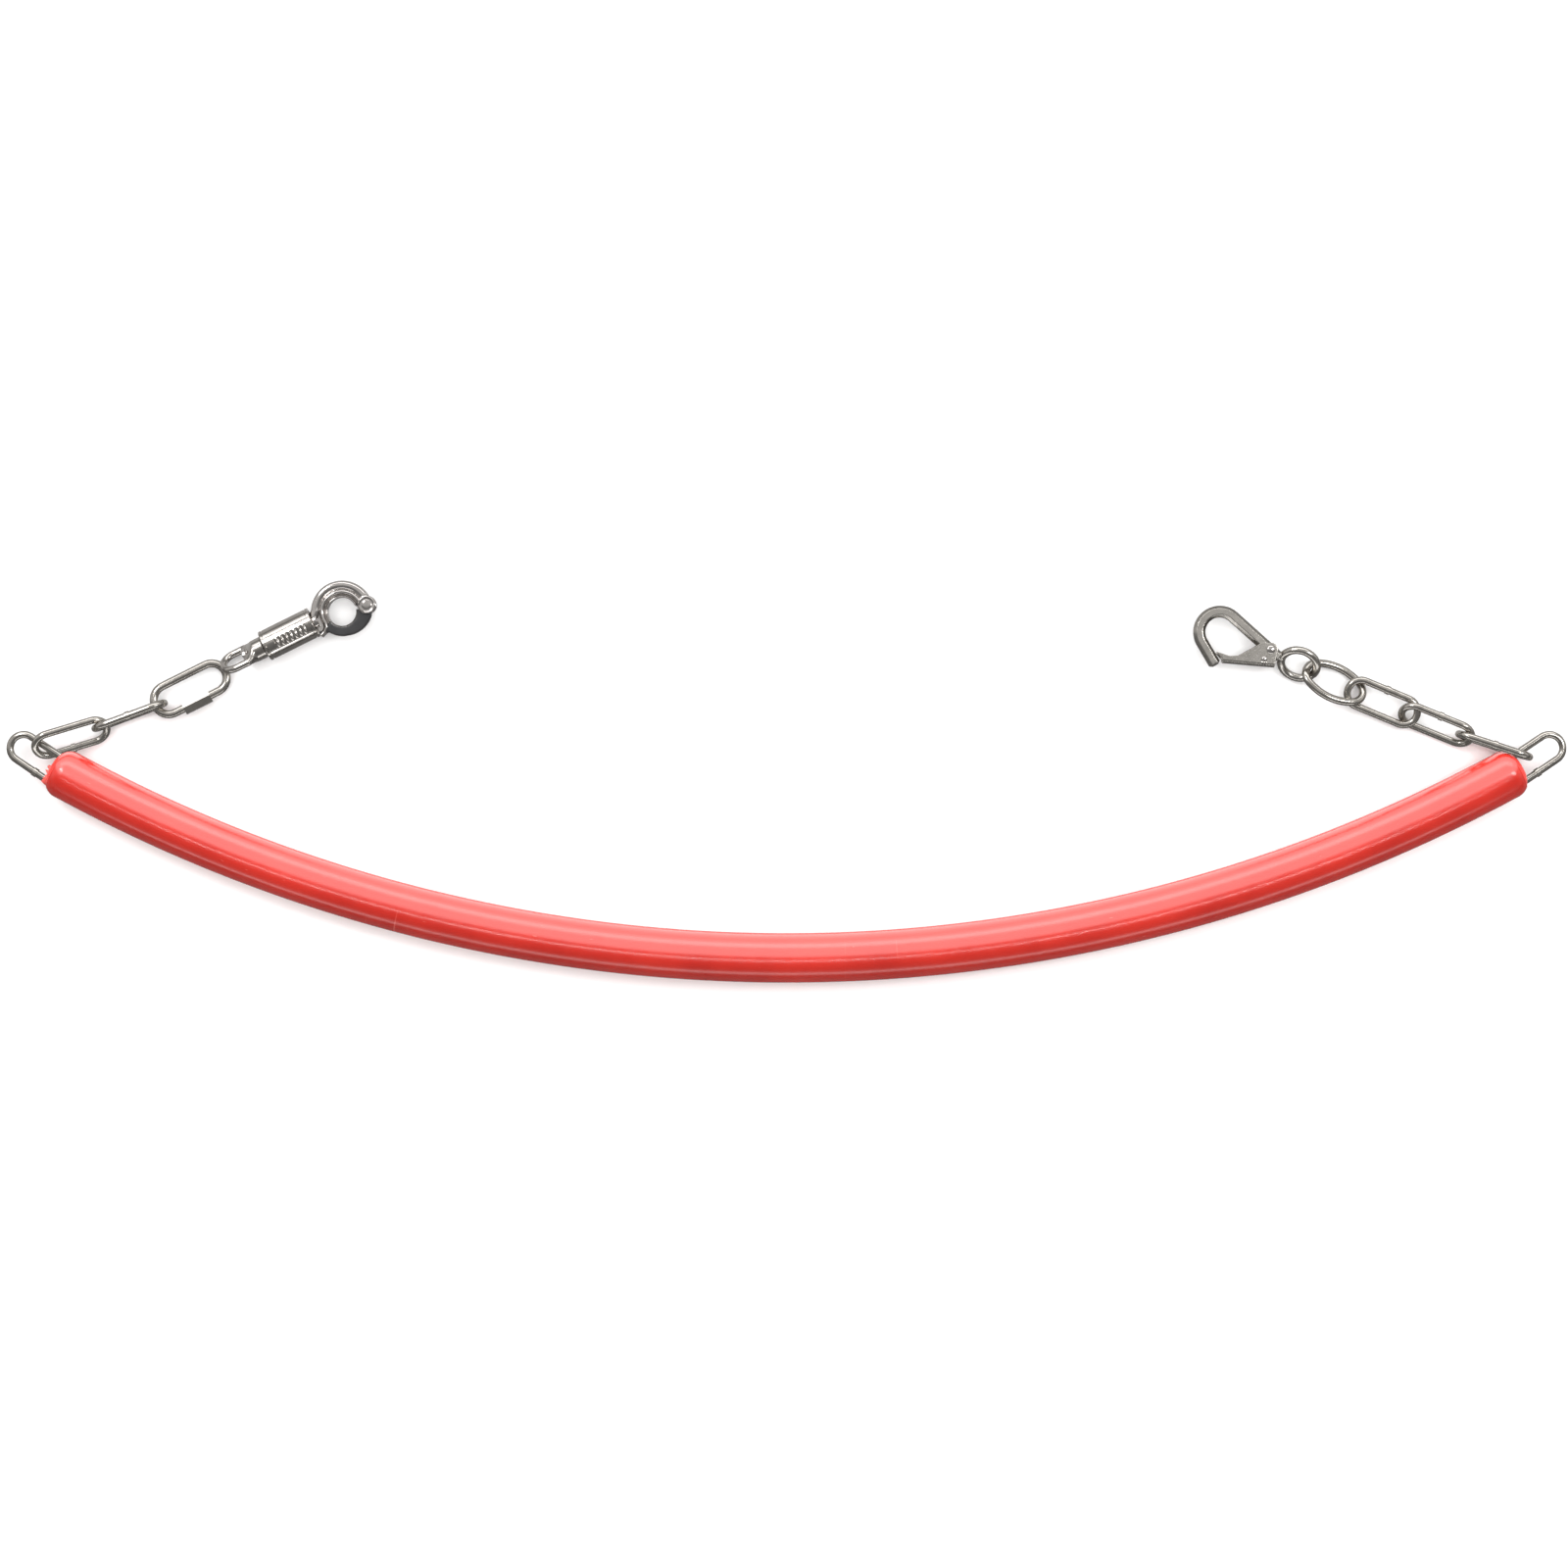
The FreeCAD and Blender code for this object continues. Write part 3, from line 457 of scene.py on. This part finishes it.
def local_frame(origin, ahead):
    """The matrix that takes a snap's own millimetres into the frame."""
    x = Vector(ahead).normalized()
    turn = Matrix((x, Z.cross(x), Z)).transposed().to_4x4()
    return Matrix.Translation(Vector(origin)) @ turn @ Matrix.Scale(MM, 4)


SWIVEL_FROM_TIP = 0.025
swivel = joints["panic_snap_swivel"]
eye_tip = Vector(swivel["pos_m"]) - Vector(swivel["axis"]) * SWIVEL_FROM_TIP
SNAP = local_frame(eye_tip, swivel["axis"])
RING = Vector((81.8, -2.2, 0))
HOLE = 8.6
PIVOT = SNAP.inverted() @ Vector(joints["panic_jaw_hinge"]["pos_m"])
PIVOT.z = 0
ARM_FROM, ARM_TO = -4, 196
ARM_BACK = -4.4
SOFT_CORNERS = 2.6
CHEEK_GAP, CHEEK_FACE, RIB_FACE = 2.9, 4.5, 4.3
SHANK_RADIUS = 4.75
JAW_FROM, JAW_TO = 198.5, 343
JAW_RADIUS, JAW_HALF, JAW_BEVEL = 14.8, 3.2, 0.6
JAW_FLARE, FLARE_FROM, FLARE_RUN = 3.0, 255, 70
TONGUE_HALF = 2.5
WORN_RIM = 1.15
EYE_ROLL = -53.2


def flat(*pairs):
    return [Vector((x, y, 0)) for x, y in pairs]


def polar(angle, radius, z=0.0, centre=RING):
    a = math.radians(angle)
    return centre + Vector((radius * math.cos(a), radius * math.sin(a), z))


def arc(radius, start, end, steps=48):
    return [polar(start + (end - start) * i / steps, radius) for i in range(steps + 1)]


def rounded(half_wide, half_high, sides, square):
    """Pairs round a section: square 2 is an ellipse, and more comes nearer a rectangle."""
    pairs = []
    for k in range(sides):
        c, s = math.cos(2 * math.pi * k / sides), math.sin(2 * math.pi * k / sides)
        wide = half_wide * math.copysign(abs(c) ** (2 / square), c)
        high = half_high * math.copysign(abs(s) ** (2 / square), s)
        pairs.append((wide, high))
    return pairs


def rod(path, half_wide, half_high, sides=32, square=2.0):
    """A bar with a rounded section swept along a path that lies flat."""
    section = rounded(half_wide, half_high, sides, square)
    return loft(
        [[at + left * a + up * b for a, b in section] for at, _, left, up in frames_along(path)]
    )


def lathe(profile, origin=Vector(), axis=Z, sides=64):
    """A solid turned about an axis, from its (along, radius) profile."""
    side = Z.cross(axis) if abs(axis.z) < 0.9 else X.copy()
    side.normalize()
    return loft([circle(origin + axis * a, side, axis.cross(side), r, sides) for a, r in profile])


def drill_at(centre, radius, half=6.0, sides=64):
    """A plain round tool through a piece, along Z."""
    return lathe([(-half, radius), (half, radius)], centre, Z, sides)


def sector(profile, start, end, steps=72, centre=RING):
    """A section of (radius, z) swept round a centre between two angles."""
    angles = [start + (end - start) * i / steps for i in range(steps + 1)]
    return loft([[polar(angle, r, z, centre) for r, z in profile] for angle in angles])


def block(low, high):
    (x0, y0, z0), (x1, y1, z1) = low, high
    ring = [(x0, y0), (x1, y0), (x1, y1), (x0, y1)]
    return loft([[Vector((x, y, z)) for x, y in ring] for z in (z0, z1)])


def both_faces(low, high):
    """The same span of Z on the back and on the front."""
    return ((-high, -low), (low, high))


def cast(name, shells, holes, voxel=0.24, smooth=6, matrix=SNAP, sharp=None):
    """One casting from overlapping shells: merged, its edges softened, then drilled."""
    points, faces = [], []
    for more, sides in shells:
        faces += [tuple(i + len(points) for i in face) for face in sides]
        points += more
    piece = mesh_piece(name, points, faces)
    bpy.context.view_layer.objects.active = piece
    merge = piece.modifiers.new("Merge", "REMESH")
    merge.mode = "VOXEL"
    merge.voxel_size = voxel
    soften = piece.modifiers.new("Soften", "SMOOTH")
    soften.factor = 0.5
    soften.iterations = smooth
    tools = []
    for i, (more, sides) in enumerate(holes):
        tool = mesh_piece(f"{name}_tool_{i}", more, sides)
        tools.append(tool)
        drill = piece.modifiers.new("Drill", "BOOLEAN")
        drill.operation = "DIFFERENCE"
        drill.object = tool
        drill.solver = "EXACT"
    bpy.context.view_layer.update()
    view = piece.evaluated_get(bpy.context.evaluated_depsgraph_get())
    mesh = bpy.data.meshes.new_from_object(view)
    piece.modifiers.clear()
    piece.data = mesh
    for tool in tools:
        bpy.data.objects.remove(tool)
    mesh.transform(matrix)
    for face in mesh.polygons:
        face.use_smooth = True
    if sharp is not None:
        mesh.set_sharp_from_angle(angle=math.radians(sharp))
    return piece


def dress(piece, body, material, slot, *replaced):
    if material is not None:
        paint(piece, material)
    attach(piece, body)
    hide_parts(*replaced)
    return piece


def make_snap_body():
    """Shank, root and fixed arm: a thick outer bead, an inner band and a low web by the hole."""
    bead_path = arc(16.1, -9, 152) + flat((66.6, 4.4), (64.2, 2.2))
    bead = rod(bead_path, half_wide=2.9, half_high=4.5, square=SOFT_CORNERS)
    band_path = arc(12.1, -2, 190) + flat((69.2, -6.6), (67.0, -8.6), (64.0, -9.8))
    band = rod(band_path, half_wide=1.5, half_high=4.1, square=SOFT_CORNERS)
    web = sector(
        [(HOLE, ARM_BACK), (15.0, ARM_BACK), (15.0, 1.0), (HOLE + 0.6, 1.0), (HOLE, 0.4)],
        ARM_FROM,
        ARM_TO,
    )
    lip = sector(
        [(HOLE, -0.6), (HOLE + 1.3, -0.6), (HOLE + 1.3, 1.9), (HOLE + 0.5, 2.3), (HOLE, 1.7)],
        0,
        ARM_TO,
    )
    root = block((63.9, -7.4, -4.0), (70.5, 6.0, 2.4))
    cheeks = [
        lathe([(a, 5.0), (a + 0.5, 5.6), (b - 0.6, 5.6), (b, 5.0)], PIVOT)
        for a, b in both_faces(CHEEK_GAP, CHEEK_FACE)
    ]
    ribs = [
        sector([(14.2, a), (18.6, a), (18.6, b), (14.2, b)], -14, 12, steps=16)
        for a, b in both_faces(CHEEK_GAP, RIB_FACE)
    ]
    rim_profile = [(3.6, 3.6), (5.5, 3.6), (5.3, 4.6), (4.7, 4.95), (4.0, 4.5)]
    rim = sector(rim_profile, -130, 150, steps=64, centre=PIVOT)
    head = [(15.9, 4.3), (18.3, 4.3), (18.3, 3.2)]
    shank = lathe(head + [(29.9, 3.2), (29.9, SHANK_RADIUS), (66, SHANK_RADIUS)], axis=X)
    slot = drill_at(PIVOT, 6.2, half=2.8)
    piece = cast(
        "panic_snap_frame",
        [bead, band, web, lip, root, *cheeks, *ribs, rim, shank],
        [slot, drill_at(PIVOT, 2.02), drill_at(RING, HOLE, sides=128)],
    )
    return dress(piece, "panic_snap_body", CHROME, "nickel", "panic_snap_body")


def make_snap_jaw():
    """The dark moving jaw: a ring sector with a bevelled bore, its knuckle, tongue and tail."""
    low = JAW_HALF - JAW_BEVEL
    side = JAW_RADIUS - JAW_BEVEL
    front = [(HOLE, 2.0), (HOLE + 1.3, JAW_HALF), (side, JAW_HALF), (JAW_RADIUS, low)]
    section = front + [(r, -z) for r, z in reversed(front)]
    rings = []
    steps = 72
    for i in range(steps + 1):
        angle = JAW_FROM + (JAW_TO - JAW_FROM) * i / steps
        grow = JAW_FLARE * max(0.0, min(1.0, (angle - FLARE_FROM) / FLARE_RUN)) ** 1.3
        rings.append([polar(angle, r + (grow if r > 12 else 0), z) for r, z in section])
    inner, outer = HOLE + 1, 14.4
    tongue = sector(
        [(inner, -TONGUE_HALF), (outer, -TONGUE_HALF), (outer, TONGUE_HALF), (inner, TONGUE_HALF)],
        318,
        JAW_TO,
        steps=16,
    )
    knuckle = drill_at(PIVOT, 4.2, half=TONGUE_HALF)
    tail = block((63.8, -9.8, -2.4), (70.6, -7.3, 2.4))
    seats = [lathe([(a, 5.9), (b, 5.9)], PIVOT) for a, b in both_faces(2.55, 6)]
    piece = cast(
        "panic_snap_jaw_cast",
        [loft(rings), tongue, knuckle, tail],
        [drill_at(PIVOT, 2.05), drill_at(RING, HOLE, sides=128), *seats],
        smooth=3,
        sharp=35,
    )
    for material in (JAW, RIM):
        piece.data.materials.append(material)
    centre = SNAP @ RING
    for face in piece.data.polygons:
        from_hole = (face.center - centre).xy.length
        face.material_index = 1 if from_hole < (HOLE + WORN_RIM) * MM else 0
    return dress(piece, "panic_snap_jaw", None, "dark_jaw", "panic_snap_jaw")


def both_ways(half):
    """A pin's profile from the half that lies above its middle."""
    return [(-a, r) for a, r in reversed(half)] + half[1:]


def make_jaw_pin():
    """The jaw's pin, with a domed head on both sides."""
    shaft, head = [(0.0, 1.98), (4.3, 1.98)], [(4.35, 3.0), (4.6, 3.1), (4.8, 2.7)]
    profile = both_ways([*shaft, *head, (4.9, 1.7), (4.9, 0.3)])
    piece = mesh_piece("panic_snap_rivet", *lathe(profile, PIVOT), matrix=SNAP)
    piece.data.set_sharp_from_angle(angle=math.radians(40))
    return dress(piece, "panic_snap_body", CHROME, "nickel", "panic_snap_jaw_pin")


COLLAR_START, COLLAR_LENGTH = 30.3, 33.1
COLLAR_RADIUS, COLLAR_BORE = 9.4, 7.6
END_BEAD = 1.6
END_GROOVE = 2.3
SEAM_AT, SEAM_HALF, FOLD_TO = 38, 2.4, 22
PATCH_AT, PATCH_HALF = 14, 19
PATCH_FROM, PATCH_END = 7.5, 28.5
RIB_PITCH = 3.0
MOUTH_CHAMFER = 0.3


def collar_relief(u, turn):
    """How far the collar's skin stands off its radius, turn degrees from straight up."""
    rise = 0.0
    edge = min(u, COLLAR_LENGTH - u)
    if edge < 0.5:
        rise -= 0.45 * (1 - edge / 0.5) ** 2
    if END_BEAD < edge < END_GROOVE:
        rise -= 0.42
    if edge <= END_BEAD:
        rise += 0.16
    for mark in (0, 180):
        seam = (turn - mark - SEAM_AT + 180) % 360 - 180
        if abs(seam) < SEAM_HALF and edge > END_GROOVE:
            rise -= 0.4 * (1 - (abs(seam) / SEAM_HALF) ** 2)
        if SEAM_HALF < seam < FOLD_TO and edge > END_GROOVE:
            rise += 0.12
        patch = (turn - mark - PATCH_AT + 180) % 360 - 180
        reach = max(0.0, 1 - (abs(patch) / PATCH_HALF) ** 4)
        if PATCH_FROM < u < PATCH_END and reach > 0:
            wave = 0.5 - 0.5 * math.cos(2 * math.pi * (u - PATCH_FROM) / RIB_PITCH)
            rise += reach * (0.62 * wave**1.6 - 0.32)
    return rise


def make_collar():
    """The sliding collar: beaded ends, a lengthwise seam and two patches of cross ribs."""
    steps, sides = 210, 240

    def hoop(u, radius_at):
        ring = []
        for k in range(sides):
            turn = 360 * k / sides
            around, radius = math.radians(turn), radius_at(turn)
            ring.append(Vector((u, -math.sin(around) * radius, math.cos(around) * radius)))
        return ring

    end = COLLAR_START + COLLAR_LENGTH
    rings = [hoop(COLLAR_START, lambda turn: COLLAR_BORE + MOUTH_CHAMFER)]
    for i in range(steps + 1):
        u = COLLAR_LENGTH * i / steps
        rings.append(hoop(COLLAR_START + u, lambda turn: COLLAR_RADIUS + collar_relief(u, turn)))
    rings.append(hoop(end, lambda turn: COLLAR_BORE + MOUTH_CHAMFER))
    rings.append(hoop(end - MOUTH_CHAMFER, lambda turn: COLLAR_BORE))
    rings.append(hoop(COLLAR_START + MOUTH_CHAMFER, lambda turn: COLLAR_BORE))
    piece = mesh_piece("panic_snap_sleeve", *loft(rings, closed=True), matrix=SNAP)
    piece.data.set_sharp_from_angle(angle=math.radians(50))
    return dress(piece, "panic_snap_collar", NICKEL, "nickel", "panic_snap_collar")


LOOP_BEND, LOOP_CENTRE, LOOP_LEG_END, LOOP_WIRE = 8, 10.3, 18.5, 2.3
# place along the axis, half width, half height and squareness, from the loop to the boss
SHOULDER = [
    (16.4, 10.3, 2.3, 3.2),
    (18.0, 10.3, 2.5, 3.2),
    (19.8, 9.6, 3.2, 3.0),
    (21.4, 8.4, 4.4, 2.6),
    (22.8, 7.2, 5.8, 2.4),
    (24.0, 6.6, 6.5, 2.2),
    (29.6, 6.6, 6.5, 2.2),
]


def make_swivel_eye():
    """A forged eye: a bent loop whose flat shoulders run into the round boss."""
    path = flat((LOOP_LEG_END, -LOOP_BEND), (LOOP_CENTRE, -LOOP_BEND))
    for i in range(1, 24):
        a = math.pi * i / 24
        path += flat((LOOP_CENTRE - LOOP_BEND * math.sin(a), -LOOP_BEND * math.cos(a)))
    path += flat((LOOP_CENTRE, LOOP_BEND), (LOOP_LEG_END, LOOP_BEND))
    loop = rod(path, LOOP_WIRE, LOOP_WIRE, sides=24)
    shoulder = loft(
        [
            [Vector((u, y, z)) for y, z in rounded(wide, high, 48, square)]
            for u, wide, high, square in SHOULDER
        ]
    )
    window = drill_at(Vector((13.6, 0, 0)), 5.4)
    bore = lathe([(15.0, 3.3), (31, 3.3)], axis=X)
    turn = SNAP @ Matrix.Rotation(math.radians(EYE_ROLL), 4, "X")
    piece = cast("panic_snap_swivel", [loop, shoulder], [window, bore], voxel=0.2, matrix=turn)
    return dress(piece, "panic_snap_eye", NICKEL, "nickel", "panic_snap_eye", "panic_snap_boss")


make_snap_body()
make_snap_jaw()
make_jaw_pin()
make_collar()
make_swivel_eye()

# --- snap hook, in its own millimetres: the eye's centre is at zero, the bow lies ahead ----------

HOOK_YAW = math.radians(158)
HOOK_CENTRE = (0.3112, 0.07125, 0.0105)
HOOK = local_frame(HOOK_CENTRE, (math.cos(HOOK_YAW), math.sin(HOOK_YAW), 0))
HOOK_EYE_ROLL = -46.0
HOOK_EYE_RADIUS, HOOK_EYE_WIRE = 11.0, 2.5
BOW = Vector((51.9, 0, 0))
BOW_RADIUS = 12.4
BACK_ANGLE, NOSE_ANGLE = 160.0, 142.2
BACK_LENGTH, NOSE_LENGTH, NOSE_POINT = 37, 15, 1.3
BAR_WIDE, BAR_HIGH, BAR_BEVEL = 3.6, 3.5, 1.8
GATE_GAP, GATE_HALF = 3.95, 5.05
GATE_CLEARANCE = 0.45
TAB_RADIUS = 4.2
SPINE_RADIUS = 2.3


def ahead(angle):
    return Vector((math.cos(math.radians(angle)), math.sin(math.radians(angle)), 0))


BEND_START = BOW + ahead(BACK_ANGLE + 90) * BOW_RADIUS
BEND_END = BOW + ahead(NOSE_ANGLE - 90) * BOW_RADIUS
ROOT_END = BEND_START + ahead(BACK_ANGLE) * BACK_LENGTH
NOSE_TIP = BEND_END + ahead(NOSE_ANGLE) * NOSE_LENGTH
GATE_PIN = BEND_START + ahead(BACK_ANGLE) * 29.9
SPRING_PIN = GATE_PIN + Vector((1.6, 6.9, 0))


def slab(outline, half):
    return loft([[p + Z * h for p in outline] for h in (-half, half)])


def bevelled_section():
    """The bar's section, anticlockwise from its outer side."""
    edge, face = BAR_HIGH - BAR_BEVEL, BAR_WIDE - BAR_BEVEL
    top = [(BAR_WIDE, edge), (face, BAR_HIGH), (-face, BAR_HIGH), (-BAR_WIDE, edge)]
    return top + [(-a, -b) for a, b in top]


def make_hook_body():
    """A bevelled bar bent to the bow, its nose cut to a blunt point, and a bent wire eye."""
    bend = NOSE_ANGLE + 180 - BACK_ANGLE
    path = [ROOT_END.lerp(BEND_START, i / 8) for i in range(8)]
    path += [polar(BACK_ANGLE + 90 + bend * i / 40, BOW_RADIUS, 0, BOW) for i in range(41)]
    path += [BEND_END.lerp(NOSE_TIP, i / 6) for i in range(1, 7)]
    path.append(NOSE_TIP + ahead(NOSE_ANGLE) * NOSE_POINT)
    section = bevelled_section()
    rings = [
        [at + left * a + up * b for a, b in section] for at, _, left, up in frames_along(path)
    ]
    rings[-1] = [path[-1].lerp(p, 0.5) for p in rings[-1]]
    roll = Matrix.Rotation(math.radians(HOOK_EYE_ROLL), 4, "X")
    spokes = [roll @ ahead(5 * i) for i in range(72)]
    wire = [circle(s * HOOK_EYE_RADIUS, s, roll @ Z, HOOK_EYE_WIRE, 24) for s in spokes]
    eye = loft(wire, closed=True)
    neck = lathe([(0, 2.4), (2.0, 2.6), (4.0, 3.2), (6.5, 3.5)], Vector((10.2, 0.2, 0)), X)
    piece = cast("snap_hook_frame", [loft(rings), eye, neck], [], voxel=0.17, matrix=HOOK)
    return dress(piece, "snap_hook", HOOK_STEEL, "stainless", "snap_hook_body")


def make_gate():
    """A pressed channel gate: two cheeks, a rolled spine, flared round its rivet."""
    fore = ahead(NOSE_ANGLE)
    inward = Vector((-fore.y, fore.x, 0))
    nose_low = BEND_END + inward * (BAR_WIDE + GATE_CLEARANCE) + fore * (NOSE_LENGTH + 2)
    nose_high = nose_low - fore * 8.0
    heel = GATE_PIN + Vector((-6.2, 9.2, 0))
    along = (heel - nose_low).normalized()
    inner = Vector((-along.y, along.x, 0))
    if inner.dot(GATE_PIN - heel) < 0:
        inner = -inner
    edge = inner * 2.0
    outline = [nose_high, nose_low + edge, heel + edge]
    outline += [GATE_PIN + ahead(a) * TAB_RADIUS for a in range(170, 330, 16)]
    outline += [GATE_PIN + Vector((6.4, -2.0, 0)), GATE_PIN + Vector((9.4, 1.8, 0))]
    outline += [nose_low.lerp(heel, 0.3) + inner * 5.4, nose_low.lerp(heel, 0.12) + inner * 4.6]
    spine_path = [nose_low.lerp(heel, i / 12) + inner * SPINE_RADIUS for i in range(13)]
    spine = rod(spine_path, SPINE_RADIUS, GATE_HALF, square=2.3)
    dimple = nose_low.lerp(heel, 0.78) + inner * 2.4
    boss = lathe([(-5.5, 0.6), (-5.1, 1.5), (5.1, 1.5), (5.5, 0.6)], dimple)
    start = nose_low + inner * 1.25 - along * 20
    long, deep = along * 80, inner * 60
    room = slab([start, start + long, start + long + deep, start + deep], GATE_GAP)
    piece = cast(
        "snap_hook_latch",
        [slab(outline, GATE_HALF), spine, boss],
        [room],
        voxel=0.15,
        smooth=4,
        matrix=HOOK,
    )
    return dress(piece, "snap_hook_gate", GATE_STEEL, "stainless", "snap_hook_gate")


def make_rivet(name, centre, radius, head, body, node):
    """A rivet through the gate's cheeks, with a domed head on both sides."""
    dome = [(5.12, head), (5.45, head * 0.95), (5.8, head * 0.6), (5.92, 0.15)]
    profile = both_ways([(0.0, radius), (5.08, radius), *dome])
    piece = mesh_piece(name, *lathe(profile, centre), matrix=HOOK)
    piece.data.set_sharp_from_angle(angle=math.radians(50))
    return dress(piece, body, CHROME, "stainless", node)


make_hook_body()
make_gate()
make_rivet("snap_hook_rivet", GATE_PIN, 1.5, 2.6, "snap_hook", "snap_hook_gate_rivet")
make_rivet("snap_hook_spring_rivet", SPRING_PIN, 1.1, 1.8, "snap_hook_gate", "snap_hook_spring_pin")

# --- floor and light -----------------------------------------------------------------------------

FLOOR_HALF, FLOOR_DROP = 3, -0.0004
SKY_LEVEL = 1.35

corners = [(-1, -1), (1, -1), (1, 1), (-1, 1)]
sheet = [(x * FLOOR_HALF, y * FLOOR_HALF, FLOOR_DROP) for x, y in corners]
floor = mesh_piece("Floor", sheet, [(0, 1, 2, 3)])
ground = Shader("PaleFloor", Roughness=0.9, Specular_IOR_Level=0.1)
speck = ground.noise(ground.place(), 60.0)
ground.to_bsdf("Base Color", ground.blend(speck, (0.90, 0.90, 0.895, 1), (0.93, 0.93, 0.93, 1)))
paint(floor, ground.material)
floor.visible_glossy = False  # the white floor would bleach the undersides of the metal


def area_light(name, place, size, power, aim=(0, 0, 0)):
    lamp = bpy.data.lights.new(name, "AREA")
    lamp.shape = "RECTANGLE"
    lamp.size, lamp.size_y = size
    lamp.energy = power
    holder = link(bpy.data.objects.new(name, lamp))
    holder.location = place
    holder.rotation_euler = (Vector(aim) - Vector(place)).to_track_quat("-Z", "Y").to_euler()
    return holder


def group(name, *pieces):
    made = bpy.data.collections.new(name)
    for piece in pieces:
        made.objects.link(piece)
    return made


area_light("SoftBack", (0, 2.1, 1.3), (3.6, 0.9), 22)
area_light("LowFront", (0, -2.2, 0.5), (4.0, 0.5), 11)
area_light("KeyLeft", (-1.1, 0.9, 1.7), (0.35, 0.9), 9, aim=(-0.2, 0, 0))
area_light("KeyRight", (1.2, 0.3, 1.6), (0.3, 0.9), 8, aim=(0.3, 0, 0))
# a broad sheen and a thin highlight that only the hose takes, and an even wash on the floor
glow = area_light("HoseGlow", (0, 0.92, 0.26), (3.4, 5.4), 122, aim=(0, -0.05, 0))
strip = area_light("HoseStrip", (0, -0.6, 2.3), (2.4, 0.03), 8, aim=(0, -0.05, 0))
wash = area_light("FloorWash", (0, 0, 2.9), (4.0, 4.0), 115)
lit = group("LitHose", hose, *plugs, rim)
for piece in lit.objects:
    piece.visible_glossy = False  # the bare metal shows no red
glow.light_linking.receiver_collection = lit
strip.light_linking.receiver_collection = lit
wash.light_linking.receiver_collection = group("LitFloor", floor)
unblocked = group("NoBlockers")
glow.light_linking.blocker_collection = unblocked
wash.light_linking.blocker_collection = unblocked


def studio_sky():
    """Grey overhead, brightest low down, dark at the horizon, and dimmer on the front side."""
    world = bpy.data.worlds.new("Studio")
    world.use_nodes = True
    scene.world = world
    tree = world.node_tree
    background = tree.nodes["Background"]
    background.inputs["Color"].default_value = (1.0, 0.99, 0.975, 1)
    axes = tree.nodes.new("ShaderNodeSeparateXYZ")
    tree.links.new(tree.nodes.new("ShaderNodeTexCoord").outputs["Generated"], axes.inputs[0])

    def ramp(source, *stops):
        """A curve over one axis of the sky, where 0 is straight back and 1 straight ahead."""
        made = tree.nodes.new("ShaderNodeFloatCurve")
        curve = made.mapping.curves[0]
        while len(curve.points) < len(stops):
            curve.points.new(0.5, 0.5)
        for point, (at, value) in zip(curve.points, stops):
            point.location = (at, value)
            point.handle_type = "AUTO_CLAMPED"
        made.mapping.update()
        half = tree.nodes.new("ShaderNodeMapRange")
        for i, number in enumerate((-1, 1, 0, 1), start=1):
            half.inputs[i].default_value = number
        tree.links.new(source, half.inputs[0])
        tree.links.new(half.outputs[0], made.inputs["Value"])
        return made.outputs[0]

    def times(first, second):
        made = tree.nodes.new("ShaderNodeMath")
        made.operation = "MULTIPLY"
        tree.links.new(first, made.inputs[0])
        if isinstance(second, float):
            made.inputs[1].default_value = second
        else:
            tree.links.new(second, made.inputs[1])
        return made.outputs[0]

    below = ((0, 0.42), (0.3, 0.42), (0.5, 0.2))
    above = ((0.62, 0.62), (0.72, 0.5), (0.85, 0.38), (1, 0.5))
    rise = ramp(axes.outputs["Z"], *below, *above)
    side = ramp(axes.outputs["Y"], (0, 0.35), (0.42, 0.4), (0.58, 1.0), (1, 1.0))
    tree.links.new(times(times(rise, side), SKY_LEVEL), background.inputs["Strength"])


studio_sky()
